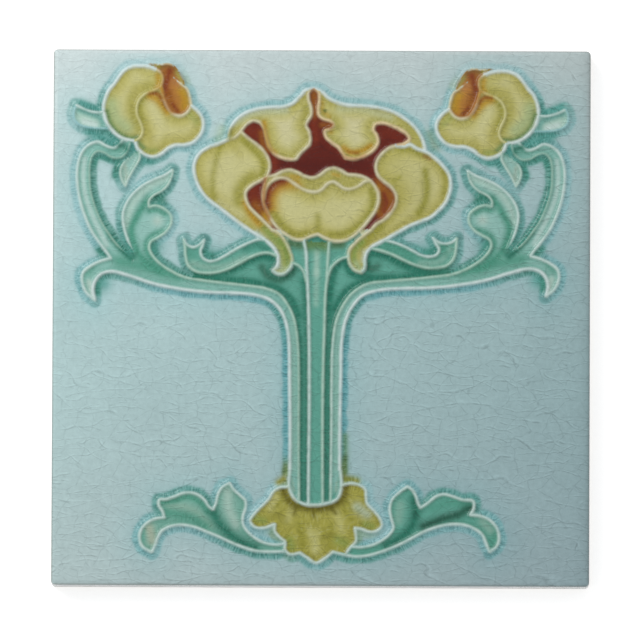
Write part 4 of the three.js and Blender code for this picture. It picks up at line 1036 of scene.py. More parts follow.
        ("sage", 1.1, 0.7, 0, [(-6.6, 3.7), (-6.2, -23.4), (-6.1, -46.3)], "once"),
        ("mist", 1.1, 0.7, 0, [(2.8, -0.6), (2.9, -23.4), (2.9, -46.2)], "once"),
        ("tawny", 0.9, 0.85, 0, [(-15.9, 39.3), (-16.4, 35.6), (-16.1, 31.3), (-15, 28.5)], "once"),
        ("buff", 1.1, 0.9, 0, [(-13.6, 45.9), (-9.1, 45)], "once"),
        ("tan", 1, 0.5, 0, [(6, 46), (8.5, 45.1), (11.9, 46)], "once"),
        ("buff", 1, 0.8, 0, [(-0.6, 62.2), (-0.3, 57.6)], "once"),
        ("celadon", 1.4, 0.7, 0, [(-10.7, 20.5), (-9.3, 17.1)], "once"),
    ],
}

# Sampling of the lines and of the face's triangles
SAMPLE_STEP = 0.1
DAB_STEP = 0.5
MOAT_SAMPLE_STEP = 0.4
CREST_STEP = 0.45
CREST_OFFSETS = (0.3, 0.58, 0.95)
RAIL_TOLERANCE = 0.06
RAIL_SPACING = 0.27
RIM_MARGIN = 0.5
FINE_GRID = 0.5
FIELD_GRID = 0.62
OPEN_GRID = 1.7
FIELD_GRID_BAND = 4
GRID_CLEARANCE = 0.2
GRID_SPACING_SHARE = 0.62
MERGE_DISTANCE = 1e-5
TINY_LENGTH = 1e-9
TINY_SQUARE = 1e-12

# Ribs: how near two count as joined, how a rib sinks and thins towards an end that stops free,
# how much of its height a narrow one keeps, and what keeps the ticks of two ribs apart
JOIN_REACH = 1.0
END_FADE = 4.0
END_THINNING = 0.6
END_CREST_SHARE = 0.25
NARROW_CREST_SHARE = 0.8
ALONG_STEP = 37.3
FAR_FROM_RIBS = 9.0

# Glaze in the fields, from the foot of the ribs to the crown
RIB_FLANK = 0.4
CROWN_GAPS = (2.0, 5.5)
HIGH_SHARE = 0.7
PILLOW_STEP = 0.3
FIELD_TICKS = 0.5
DAB_TICKS = 0.45
# Painted shade: how much darker the fields and ribs grow from the top left to the bottom right,
# away from the light
PAINTED_SHADE_DRIFT = 0.19

# Glaze pooled on the ground beside the outer ribs
MOAT_WIDTH = 3.0
MOAT_NEIGHBOURS = 10
MOAT_BLEND = 0.35
MOAT_WANDER = 0.45
MOAT_WANDER_SCALE = 0.35
MOAT_LIP = 0.9
MOAT_START = 0.7
MOAT_FADE = 0.45

# Tints and reaches of the ground, and of the painted shade along the right edge and on the rim's
# outer turn
MIDDLE_TINT = (0.84, 0.962, 0.967)
RIM_SHADE_TINT = (0.5, 0.49, 0.47)
RIM_REACH = 0.45
RIM_TURN = 0.22
FACE_FALL_SHADE = 0.23
FACE_FALL_REACH = 1.3
GROUND_HAZE = 0.4
GROUND_HAZE_REACH = 7.0
HAZE_TINT = (0.72, 0.94, 0.95)


def linear(name):
    """The linear colour of a named glaze, by the sRGB curve."""
    share = np.array(COLOURS[name]) / 255
    return np.where(share <= 0.04045, share / 12.92, ((share + 0.055) / 1.055) ** 2.4)


def smoothstep(x, low, high):
    t = np.clip((x - low) / (high - low), 0, 1)
    return t * t * (3 - 2 * t)


def mirrored(point):
    """Places a point of the left half on the right half."""
    x, y = point
    reach = STEM_AXIS_X - x
    out = SPREAD * (1 - math.exp(-max(reach - SPREAD_START, 0) / SPREAD_REACH))
    lift = float(smoothstep(reach, SLOPE_START, SLOPE_FULL))
    return STEM_AXIS_X + reach + out, y + SLOPE * (SLOPE_LEVEL - y) * lift


def resampled(line, step):
    """The same line with its points evenly spaced along it."""
    arc = np.concatenate([[0], np.cumsum(np.linalg.norm(np.diff(line, axis=0), axis=1))])
    places = np.linspace(0, arc[-1], max(2, math.ceil(arc[-1] / step) + 1))
    return np.column_stack([np.interp(places, arc, line[:, k]) for k in (0, 1)])


def smooth_line(points, step=SAMPLE_STEP):
    """A centripetal Catmull-Rom curve through the points."""
    p = np.array(points, float)
    p = np.vstack([2 * p[0] - p[1], p, 2 * p[-1] - p[-2]])
    pieces = []
    for a, b, c, d in zip(p, p[1:], p[2:], p[3:]):
        t1 = math.sqrt(np.linalg.norm(b - a))
        t2 = t1 + math.sqrt(np.linalg.norm(c - b))
        t3 = t2 + math.sqrt(np.linalg.norm(d - c))
        t = np.linspace(t1, t2, max(3, math.ceil(2 * np.linalg.norm(c - b) / step)))[:, None]
        ab = (a * (t1 - t) + b * t) / t1
        bc = (b * (t2 - t) + c * (t - t1)) / (t2 - t1)
        cd = (c * (t3 - t) + d * (t - t2)) / (t3 - t2)
        abc = (ab * (t2 - t) + bc * t) / t2
        bcd = (bc * (t3 - t) + cd * (t - t1)) / (t3 - t1)
        pieces.append((abc * (t2 - t) + bcd * (t - t1)) / (t2 - t1))
    return resampled(np.vstack(pieces), step)


def ornament_lines():
    """Every rib of the ornament by name. The right half's copies start with "right."."""
    lines = {}
    for name, points in MIRRORED_LINES.items():
        lines[name] = smooth_line(points)
        lines["right." + name] = smooth_line([mirrored(p) for p in points])
    for group in (LEFT_LINES, RIGHT_LINES, CENTRE_LINES):
        for name, points in group.items():
            lines[name] = smooth_line(points)
    return lines


def closed_run(lines, run, right):
    """The outline of a field, as one closed ring of points."""
    outline = []
    for entry in run:
        if isinstance(entry, list):
            outline.append(np.array(entry, float))
            continue
        name = entry.lstrip("-")
        line = lines["right." + name if right else name]
        outline.append(line[::-1] if entry.startswith("-") else line)
    return np.vstack(outline)


def inside(outline, points):
    """Which points lie inside a closed outline, by counting its crossings to the right."""
    found = np.zeros(len(points), bool)
    near = np.all((points >= outline.min(0)) & (points <= outline.max(0)), axis=1)
    where = np.flatnonzero(near)
    x, y = points[where].T
    odd = np.zeros(len(where), bool)
    for (ax, ay), (bx, by) in zip(outline, np.roll(outline, -1, axis=0)):
        if ay == by:
            continue
        crosses = ((ay > y) != (by > y)) & (x < ax + (y - ay) * (bx - ax) / (by - ay))
        odd ^= crosses
    found[where] = odd
    return found


def tree_of(points):
    tree = kdtree.KDTree(len(points))
    for i, (x, y) in enumerate(points):
        tree.insert((x, y, 0), i)
    tree.balance()
    return tree


class RibIndex:
    """Finds the nearest rib to any point of the face: how far it is and where along the rib."""

    def __init__(self, lines):
        self.names = list(lines)
        self.points = np.vstack(list(lines.values()))
        self.owner = np.concatenate([np.full(len(p), i) for i, p in enumerate(lines.values())])
        counts = [len(p) for p in lines.values()]
        self.along = np.concatenate([np.arange(n) * SAMPLE_STEP for n in counts])
        self.tree = tree_of(self.points)
        self.lengths = np.array([(n - 1) * SAMPLE_STEP for n in counts])
        self.open_ends = self.find_open_ends(list(lines.values()))

    def find_open_ends(self, lines):
        """Whether each rib's start and end stop free in the glaze, touching no other rib."""
        found = []
        for i, line in enumerate(lines):
            ends = []
            for x, y in (line[0], line[-1]):
                near = self.tree.find_range((x, y, 0), JOIN_REACH)
                ends.append(all(self.owner[n[1]] == i for n in near))
            found.append(ends)
        return np.array(found)

    def fading(self, owner, place):
        """1 along a rib, falling to 0 over the last stretch before an end that stops free."""
        share = np.ones(len(owner))
        for side, away in enumerate((place, self.lengths[owner] - place)):
            fade = smoothstep(away, 0, END_FADE)
            share = np.where(self.open_ends[owner, side], np.minimum(share, fade), share)
        return share

    def nearest(self, points):
        """The distance to the nearest rib, its number, and how far along it the place is."""
        found = np.array([self.tree.find((x, y, 0))[1] for x, y in points])
        gap = np.linalg.norm(points - self.points[found], axis=1)
        place = self.along[found].copy()
        for step in (-1, 1):
            other = np.clip(found + step, 0, len(self.points) - 1)
            same = self.owner[other] == self.owner[found]
            a, b = self.points[found], self.points[other]
            run = b - a
            length = np.maximum((run ** 2).sum(1), TINY_SQUARE)
            t = np.clip(((points - a) * run).sum(1) / length, 0, 1)
            closer = np.linalg.norm(points - (a + run * t[:, None]), axis=1)
            better = same & (closer < gap)
            gap[better] = closer[better]
            place[better] = self.along[found][better] + step * t[better] * SAMPLE_STEP
        return gap, self.owner[found], place


def normals_of(line):
    """The direction to the left of the line at each of its points."""
    run = np.gradient(line, axis=0)
    run /= np.maximum(np.linalg.norm(run, axis=1), TINY_LENGTH)[:, None]
    return np.column_stack([-run[:, 1], run[:, 0]])


class Spacing:
    """Accepts a point only where no accepted point is nearer than the spacing asked for."""

    CELL = 0.5

    def __init__(self):
        self.cells = {}

    def add(self, x, y, spacing):
        i, j = math.floor(x / self.CELL), math.floor(y / self.CELL)
        reach = math.ceil(spacing / self.CELL)
        least = spacing * spacing
        for a in range(i - reach, i + reach + 1):
            for b in range(j - reach, j + reach + 1):
                for px, py in self.cells.get((a, b), ()):
                    if (px - x) ** 2 + (py - y) ** 2 < least:
                        return False
        self.cells.setdefault((i, j), []).append((x, y))
        return True


def lattice(step, half_width, half_height):
    """A field of evenly spaced points in staggered rows."""
    rows = []
    row_step = step * math.sqrt(0.75)
    for r in range(int(-half_height / row_step), int(half_height / row_step) + 1):
        offset = step / 2 if r % 2 else 0
        xs = np.arange(-half_width, half_width, step) + offset
        rows.append(np.column_stack([xs, np.full(len(xs), r * row_step)]))
    points = np.vstack(rows)
    return points[(abs(points[:, 0]) < half_width) & (abs(points[:, 1]) < half_height)]


def tile_ring(inset, z):
    """The tile's outline at one height, drawn in by an inset, anticlockwise seen from above."""
    r = max(CORNER_RADIUS - inset, LEAST_CORNER_RADIUS)
    corners = []
    for corner in range(4):
        sx = 1 if corner in (0, 3) else -1
        sy = 1 if corner < 2 else -1
        cx = sx * (TILE_WIDTH / 2 - inset - r)
        cy = sy * (TILE_HEIGHT / 2 - inset - r)
        for i in range(RING_CORNER_STEPS + 1):
            angle = (corner + i / RING_CORNER_STEPS) * math.pi / 2
            corners.append((cx + r * math.cos(angle), cy + r * math.sin(angle), corner))
    ring = []
    for (ax, ay, a_corner), (bx, by, b_corner) in zip(corners, corners[1:] + corners[:1]):
        steps = RING_SIDE_STEPS if a_corner != b_corner else 1
        for k in range(steps):
            t = k / steps
            ring.append((ax + (bx - ax) * t, ay + (by - ay) * t, z))
    return ring


def rails_beside(crests, ribs):
    """Lines at each offset beside every crest, without what comes nearer to another rib."""
    rails = []
    for offset in CREST_OFFSETS:
        for crest in crests:
            side = normals_of(crest)
            shifted = np.vstack([crest + side * offset, crest - side * offset])
            gap, owner, place = ribs.nearest(shifted)
            rails.append(shifted[gap > offset - RAIL_TOLERANCE])
    return rails


def face_points(lines, ribs):
    """The points that the face is triangulated through, and the crests that its edges follow."""
    points = [(x, y) for x, y, z in tile_ring(FACE_EDGE_ROUNDING, 0)]
    count = len(points)
    edges = [(i, (i + 1) % count) for i in range(count)]
    spacing = Spacing()
    crests = [resampled(line, CREST_STEP) for line in lines.values()]
    for crest in crests:
        start = len(points)
        points += [tuple(p) for p in crest]
        edges += [(start + i, start + i + 1) for i in range(len(crest) - 1)]
        for x, y in crest:
            spacing.add(x, y, 0)
    half_w = TILE_WIDTH / 2 - FACE_EDGE_ROUNDING - RIM_MARGIN
    half_h = TILE_HEIGHT / 2 - FACE_EDGE_ROUNDING - RIM_MARGIN
    for rail in rails_beside(crests, ribs):
        for x, y in rail:
            if abs(x) < half_w and abs(y) < half_h and spacing.add(x, y, RAIL_SPACING):
                points.append((x, y))
    for step, low, high in (
        (FINE_GRID, CREST_OFFSETS[-1] + GRID_CLEARANCE, MOAT_WIDTH),
        (FIELD_GRID, MOAT_WIDTH, MOAT_WIDTH + FIELD_GRID_BAND),
        (OPEN_GRID, MOAT_WIDTH + FIELD_GRID_BAND, TILE_WIDTH),
    ):
        grid = lattice(step, half_w, half_h)
        gap, owner, place = ribs.nearest(grid)
        for x, y in grid[(gap >= low) & (gap < high)]:
            if spacing.add(x, y, step * GRID_SPACING_SHARE):
                points.append((x, y))
    return points, edges, count


def distance_to_line(points, line):
    best = np.full(len(points), np.inf)
    if len(line) == 1:
        return np.linalg.norm(points - line[0], axis=1)
    for a, b in zip(line, line[1:]):
        run = b - a
        t = np.clip(((points - a) @ run) / max(run @ run, TINY_SQUARE), 0, 1)
        best = np.minimum(best, np.linalg.norm(points - (a + t[:, None] * run), axis=1))
    return best


def lay_dabs(name, right, points, colour, hollow=None, pool=None):
    """Lays the painted dabs of one field, or of its mirrored copy, over the points' colours."""
    for dab in DABS.get(name, ()):
        if right and "once" in dab:
            continue
        tint, reach, strength, depth, drawn = dab[:5]
        drawn = [mirrored(p) for p in drawn] if right else drawn
        line = smooth_line(drawn, DAB_STEP) if len(drawn) > 2 else np.array(drawn, float)
        share = strength * np.exp(-(distance_to_line(points, line) / reach) ** 2)
        colour += (linear(tint) - colour) * share[:, None]
        if hollow is not None:
            hollow[:] = np.maximum(hollow, depth * share)
            pool[:] = np.maximum(pool, DAB_TICKS * share * (depth > 0))


def moat_samples(lines):
    """Places along the outer ribs, with the colour and strength of the glaze pooled beside them."""
    places, colours, strengths = [], [], []
    for name, stops in MOATS.items():
        copies = [name]
        if name in MIRRORED_LINES:
            copies.append("right." + name)
        if name in RIGHT_TWINS:
            copies.append(RIGHT_TWINS[name])
        stop_places = [stop[0] for stop in stops]
        stop_colours = np.array([linear(stop[1]) for stop in stops])
        for copy in copies:
            line = resampled(lines[copy], MOAT_SAMPLE_STEP)
            share = np.linspace(0, 1, len(line))
            places.append(line)
            colours.append(np.column_stack([
                np.interp(share, stop_places, stop_colours[:, k]) for k in range(3)
            ]))
            strengths.append(np.interp(share, stop_places, [stop[2] for stop in stops]))
    return np.vstack(places), np.vstack(colours), np.concatenate(strengths)


def ground_glaze(points):
    """The pale ground glaze, bluest across the middle and brightest at the top left: partly its own
    tone, partly painted shade of the light falling off towards the bottom right.
    """
    right = np.clip(points[:, :1] / TILE_WIDTH + 0.5, 0, 1)
    foot = np.clip(0.5 - points[:, 1:2] / TILE_HEIGHT, 0, 1)
    top = linear("ground_top_left") * (1 - right) + linear("ground_top_right") * right
    low = linear("ground_foot_left") * (1 - right) + linear("ground_foot_right") * right
    middle = 4 * foot * (1 - foot)
    # Painted shade along the right edge, where the face turns away from the light
    away = np.maximum(TILE_WIDTH / 2 - points[:, :1], 0)
    right_edge_shade = 1 - FACE_FALL_SHADE * np.exp(-away / FACE_FALL_REACH)
    return (top + (low - top) * foot) * (1 + (np.array(MIDDLE_TINT) - 1) * middle) * right_edge_shade


def rim_glaze(points):
    """The ground glaze on the rounded rim, darkened with painted shade along its outermost turn,
    where it turns away from the light.
    """
    inset = np.minimum(TILE_WIDTH / 2 - abs(points[:, 0]), TILE_HEIGHT / 2 - abs(points[:, 1]))
    turn = smoothstep(RIM_REACH - inset, 0, RIM_TURN)[:, None]
    return ground_glaze(points) * (1 + (np.array(RIM_SHADE_TINT) - 1) * turn)


class Face:
    """The face's height, glaze and rib facts at each of its points."""

    def __init__(self, points, lines, ribs):
        self.points, self.lines = points, lines
        self.gap, owner, place = ribs.nearest(points)
        styles = [RIB_STYLES.get(name.replace("right.", ""), OUTER_RIB) for name in ribs.names]
        self.half = np.array([style[0] for style in styles])[owner]
        self.tint = np.array([linear(style[1]) for style in styles])[owner]
        self.along = place + owner * ALONG_STEP
        self.ends = ribs.fading(owner, place)

        # Painted shade over the fields and, at half strength, the rib tints: darker from the top
        # left to the bottom right, as the light falls off
        shade_drift = (points[:, 0] / TILE_WIDTH - points[:, 1] / TILE_HEIGHT) / 2 + 0.5
        light = (1 - PAINTED_SHADE_DRIFT * shade_drift)[:, None]
        for right in (False, True):
            lay_dabs("ribs", right, points, self.tint)
        self.tint *= (1 + light) / 2

        self.colour = ground_glaze(points)
        breath = GROUND_HAZE * np.exp(-(self.gap / GROUND_HAZE_REACH) ** 2)
        self.colour += (self.colour * HAZE_TINT - self.colour) * breath[:, None]
        self.fill = np.zeros(len(points))
        self.hollow = np.zeros(len(points))
        self.pool = np.zeros(len(points))
        self.on_ground = np.ones(len(points), bool)
        for field in FIELDS:
            for right in (False, True) if field.get("both") else (False,):
                self.glaze_field(field, right)
        self.pool_outside()
        for right in (False, True):
            self.paint("ground", right, np.flatnonzero(self.on_ground))
        # Painted shade on the fields, darker towards the bottom right
        self.colour[~self.on_ground] *= light[~self.on_ground]
        self.height = self.relief()
        self.gap = self.gap + (1 - self.ends) * END_THINNING

    def paint(self, name, right, where):
        held = self.colour[where], self.hollow[where], self.pool[where]
        lay_dabs(name, right, self.points[where], *held)
        self.colour[where], self.hollow[where], self.pool[where] = held

    def glaze_field(self, field, right):
        """Glazes one field: deep along its ribs, thin over its middle, and swollen between them."""
        where = np.flatnonzero(inside(closed_run(self.lines, field["run"], right), self.points))
        gap = self.gap[where]
        self.on_ground[where] = False
        near = np.exp(-(np.maximum(gap - RIB_FLANK, 0) / field["rim_reach"]) ** 2) * field["rim"]
        thin, deep = linear(field["thin"]), linear(field["deep"])
        self.colour[where] = thin + (deep - thin) * near[:, None]
        if "high" in field:
            crown = HIGH_SHARE * smoothstep(gap, *CROWN_GAPS)
            self.colour[where] += (linear(field["high"]) - self.colour[where]) * crown[:, None]
        self.pool[where] = np.maximum(near * FIELD_TICKS, field.get("ticks", 0))
        self.hollow[where] = 0
        swell = 1 - np.exp(-(gap / PILLOW_REACH) ** 2)
        self.fill[where] = field["rise"] * (PILLOW_STEP + (1 - PILLOW_STEP) * swell)
        self.paint(field["name"], right, where)

    def pool_outside(self):
        """Pools glaze on the ground beside the outer ribs, in moats with a wandering outline."""
        places, colours, strengths = moat_samples(self.lines)
        tree = tree_of(places)
        for i in np.flatnonzero(self.on_ground & (self.gap < MOAT_WIDTH)):
            x, y = self.points[i]
            near = tree.find_n((x, y, 0), MOAT_NEIGHBOURS)
            index = [n[1] for n in near]
            away = np.array([n[2] for n in near])
            weight = np.exp(-(away - away.min()) / MOAT_BLEND)
            weight /= weight.sum()
            strength = float(weight @ strengths[index])
            d = away.min()
            wander = 1 + noise.noise(Vector((x, y, 0)) * MOAT_WANDER_SCALE)
            plateau = float(smoothstep(MOAT_WIDTH - MOAT_WANDER * wander - d, 0, MOAT_LIP))
            past = max(d - MOAT_START, 0) / (MOAT_WIDTH - MOAT_START)
            share = strength * plateau * (1 - MOAT_FADE * past * strength ** 2)
            self.colour[i] += (weight @ colours[index] - self.colour[i]) * share
            self.pool[i] = share
            dip = math.exp(-((d - MOAT_CENTRE) / MOAT_REACH) ** 2)
            self.hollow[i] = MOAT_DEPTH * dip * strength

    def relief(self):
        """The height above the ground: ribs over swollen fields, falling off at the edge."""
        x, y = self.points.T
        bell = 0.5 + 0.5 * np.cos(np.pi * np.clip(self.gap / RIB_REACH, 0, 1))
        level = self.fill - self.hollow
        breadth = NARROW_CREST_SHARE + (1 - NARROW_CREST_SHARE) * self.half / OUTER_RIB[0]
        crest = CREST_RISE * breadth * (END_CREST_SHARE + (1 - END_CREST_SHARE) * self.ends)
        height = level + (crest - level) * bell
        inner = np.minimum(TILE_WIDTH / 2 - abs(x), TILE_HEIGHT / 2 - abs(y)) - FACE_EDGE_ROUNDING
        height -= EDGE_FALL * np.clip(1 - inner / EDGE_FALL_REACH, 0, 1) ** 2
        (x_length, x_phase), (y_length, y_phase) = RIPPLE_WAVES
        ripple = np.sin(x / x_length + x_phase) * np.sin(y / y_length + y_phase)
        return height + RIPPLE * ripple * np.clip(inner / EDGE_FALL_REACH, 0, 1)


def stitched(ring_a, ring_b):
    """Triangles between two rings of vertex numbers that go round the same way."""
    faces = []
    for i in range(len(ring_a)):
        j = (i + 1) % len(ring_a)
        faces.append((ring_a[i], ring_a[j], ring_b[j]))
        faces.append((ring_a[i], ring_b[j], ring_b[i]))
    return faces


def turned(points, face, up):
    """The same triangle, wound so that it faces up or down."""
    (ax, ay), (bx, by), (cx, cy) = (points[i][:2] for i in face)
    left = (bx - ax) * (cy - ay) - (by - ay) * (cx - ax) > 0
    return tuple(face) if left == up else tuple(reversed(face))


class TileMesh:
    """The tile's vertices and triangles, with the material of each triangle."""

    GLAZE, SIDE, BACK = range(3)

    def __init__(self):
        self.verts, self.triangles, self.kinds = [], [], []

    def add(self, triangles, kind):
        self.triangles.extend(triangles)
        self.kinds.extend([kind] * len(triangles))

    def add_verts(self, verts):
        start = len(self.verts)
        self.verts.extend(verts)
        return list(range(start, len(self.verts)))

    def add_band(self, ring, inset, z, kind):
        """A band of the outside, from a ring down to the next one, which it gives back."""
        lower = self.add_verts(tile_ring(inset, z))
        self.add(stitched(lower, ring), kind)
        return lower


def add_face(tile):
    """The face, triangulated along every crest. Gives its looks and its outer ring."""
    lines = ornament_lines()
    ribs = RibIndex(lines)
    points, edges, ring_count = face_points(lines, ribs)
    found = delaunay_2d_cdt([Vector(p) for p in points], edges, [], 0, MERGE_DISTANCE)
    coords, faces, origins = found[0], found[2], found[3]
    face = Face(np.array([(v.x, v.y) for v in coords]), lines, ribs)
    tile.add_verts([(x, y, GROUND_LEVEL + h) for (x, y), h in zip(face.points, face.height)])
    tile.add([turned(tile.verts, f, True) for f in faces], tile.GLAZE)
    output_of = {source: i for i, sources in enumerate(origins) for source in sources}
    return face, [output_of[i] for i in range(ring_count)]


def add_sides(tile, ring):
    """The rounded rim, the four sides and the chamfer. Gives the back's outline."""
    rim_level = GROUND_LEVEL - EDGE_FALL
    for i in range(EDGE_STEPS - 1, -1, -1):
        angle = i / EDGE_STEPS * math.pi / 2
        drop = FACE_EDGE_ROUNDING * (1 - math.sin(angle))
        inset = FACE_EDGE_ROUNDING * (1 - math.cos(angle))
        ring = tile.add_band(ring, inset, rim_level - drop, tile.GLAZE)
    top = rim_level - FACE_EDGE_ROUNDING
    for i in range(1, SIDE_STEPS + 1):
        ring = tile.add_band(ring, 0, top + (BACK_EDGE_CHAMFER - top) * i / SIDE_STEPS, tile.SIDE)
    return tile.add_band(ring, BACK_EDGE_CHAMFER, 0, tile.SIDE)


def groove_rings(x):
    """The mouth and the bed of a keying groove in the back."""
    draft = (GROOVE_MOUTH_WIDTH - GROOVE_FLOOR_WIDTH) / 2
    length = TILE_HEIGHT - 2 * GROOVE_END_MARGIN
    rings = []
    for inset, z in ((0, 0), (draft, GROOVE_DEPTH)):
        w = GROOVE_MOUTH_WIDTH / 2 - inset
        v = length / 2 - inset
        rings.append([(x + w, v, z), (x - w, v, z), (x - w, -v, z), (x + w, -v, z)])
    return rings


def add_back(tile, outline):
    """The flat back, with its keying grooves."""
    room = TILE_WIDTH - 2 * GROOVE_SIDE_MARGIN - GROOVE_MOUTH_WIDTH
    count = int(room // GROOVE_PITCH) + 1
    mouths = []
    for i in range(count):
        rings = groove_rings((i - (count - 1) / 2) * GROOVE_PITCH)
        mouth, bed = (tile.add_verts(ring) for ring in rings)
        mouths.append(mouth)
        tile.add([(a, c, b) for a, b, c in stitched(mouth, bed)], tile.BACK)
        a, b, c, d = bed
        tile.add([(a, c, b), (a, d, c)], tile.BACK)
    loops = [outline] + mouths
    back = [i for loop in loops for i in loop]
    here = {v: k for k, v in enumerate(back)}
    edges = [(here[a], here[b]) for loop in loops for a, b in zip(loop, loop[1:] + loop[:1])]
    found = delaunay_2d_cdt([Vector(tile.verts[i][:2]) for i in back], edges, [], 0, MERGE_DISTANCE)
    source = [back[names[0]] for names in found[3]]
    for face in found[2]:
        corners = [source[i] for i in face]
        if not any(set(corners) <= set(mouth) for mouth in mouths):
            tile.add([turned(tile.verts, corners, False)], tile.BACK)


def add_attributes(mesh, face, outside):
    """Hands the glaze and the rib facts to the materials. Outside are the points off the face."""
    plain = np.tile(linear("white"), (len(outside), 1))
    for name, values in (
        ("glaze", np.vstack([face.colour, rim_glaze(outside)])),
        ("rib_tint", np.vstack([face.tint, plain])),
    ):
        attribute = mesh.attributes.new(name, "FLOAT_COLOR", "POINT")
        attribute.data.foreach_set("color", np.column_stack([values, np.ones(len(values))]).ravel())
    for name, values, rest in (
        ("rib_gap", face.gap, FAR_FROM_RIBS), ("rib_half", face.half, OUTER_RIB[0]),
        ("pool", face.pool, 0.0), ("along", face.along, 0.0),
    ):
        attribute = mesh.attributes.new(name, "FLOAT", "POINT")
        attribute.data.foreach_set("value", np.concatenate([values, np.full(len(outside), rest)]))


def glazed_tile():
    tile = TileMesh()
    face, ring = add_face(tile)
    add_back(tile, add_sides(tile, ring))

    mesh = bpy.data.meshes.new("glazed_tile")
    mesh.from_pydata([(x * MM, y * MM, z * MM) for x, y, z in tile.verts], [], tile.triangles)
    mesh.update()
    mesh.shade_smooth()
    add_attributes(mesh, face, np.array(tile.verts[len(face.points):]))
    mesh.polygons.foreach_set("material_index", tile.kinds)
    for material in (glaze_material(), edge_material(), biscuit_material()):
        mesh.materials.append(material)
    piece = bpy.data.objects.new("glazed_tile", mesh)
    bpy.context.scene.collection.objects.link(piece)
    print("tile triangles", len(tile.triangles))
    return piece


# Crazing: the net of small cells, and the long cracks' spacing, sway, seed and direction. The core
# of a long crack and the painted highlight just above it are shares of its width.
CRACK_NET = {"cell": 5.8, "width": 0.24, "seed": 3.0, "warp": 2.4, "angle": 0.5, "stretch": 1.3}
CRACK_NET_SHARE = 0.6
CRACK_NET_CORE = 0.25
CRACK_RUNS = ((3.0, 6.0, 1.0, 0.08), (4.2, 7.0, 4.0, -0.3), (5.0, 8.0, 8.0, 0.55))
CRACK_WIDTH = 0.26
CRACK_CORE = (0.5, 1.1)
CRACK_HIGHLIGHT_BAND = (0.8, 1.6, 3)
CRACK_SLOPE = (-120, 40, 0.55, 1.0)
WAVE_LENGTH = 2 * math.pi / 20
SEED_SHIFT = (3.1, 2.3)
WARP_SEED_SHIFT = 1.7
WARP_WAVES = 0.9
RUN_STRETCH = 0.6
RUN_DETAIL = {"Detail": 2.0, "Detail Scale": 1.3}
RUN_SEED_SHIFT = 9

# Patches of noise: scale, detail, the values between which they change, and their two shares
SHOWN_PATCHES = (0.15, 3.0, 0.42, 0.54)
FAINT_PATCHES = (0.75, 3.0, 0.34, 0.6, 0.15, 1.0)
WORN_PATCHES = (0.4, 3.0, 0.3, 0.62, 0.68, 0.9)
TICK_PATCHES = (0.3, 1.0, 0.25, 0.55, 0.35, 1.0)
STAIN_PATCHES = (0.09, 3.0, 0.35, 0.7)

# Ribs and the fringe of ticks and glints beside them
RIB_WANDER_SCALE = 0.45
RIB_WANDER = 0.3
RIB_SOFTNESS = (-0.42, 0.5)
WORN_SHIFT = (31, 17, 0)
TICK_STRETCH = 0.22
TICK_SCALE = 2.1
TICK_VALUES = (0.44, 0.64)
GLINT_VALUES = (0.44, 0.34)
TICK_SHARE = 0.62
GLINT_SHARE = 0.15

# Shades of the glaze: the noise of its mottle, and by how much each thing lightens or darkens it
MOTTLE = (0.9, 4.0, 0.6)
MOTTLE_SWING = 0.32
SPECKS = (3.2, 0.08)
CLOUDS = (0.06, 0.12)
CRACK_SHADE = -0.18
# Painted highlight: how much the band just above each long crack is lightened
CRACK_HIGHLIGHT = 0.13
STAIN_SHARE = 0.12

# Surfaces, with the depth of their bumps in millimetres
GLAZE_ROUGHNESS = 0.1
MOTTLE_ROUGHNESS = 0.08
CRACK_ROUGHNESS = 0.15
GLAZE_IOR = 1.5
GLAZE_SPECULAR = 0.32
GLAZE_BUMP = 0.03
CRACK_DIP = 0.4
MOTTLE_RISE = 0.35
BISCUIT_GRAIN = (2.2, 6.0, 0.65)
GRAIN_SHARES = (0.3, 0.75, 0.0, 0.35)
BISCUIT_ROUGHNESS = 0.85
BISCUIT_BUMP = 0.15

# Sides: where the glaze runs end and where the glaze darkens with painted shade towards the arris,
# in millimetres of height
SIDE_CLAY_SHARE = 0.75
RUN_NOISE = (0.22, 3.0)
RUN_DEPTH = 4.0
RUN_LINE = (-1.1, 0.1)
ARRIS_HEIGHTS = (4.6, 8.0)
SIDE_ROUGHNESS = (0.75, 0.16)
SIDE_GLAZE_RISE = 0.8
SIDE_BUMP = 0.12


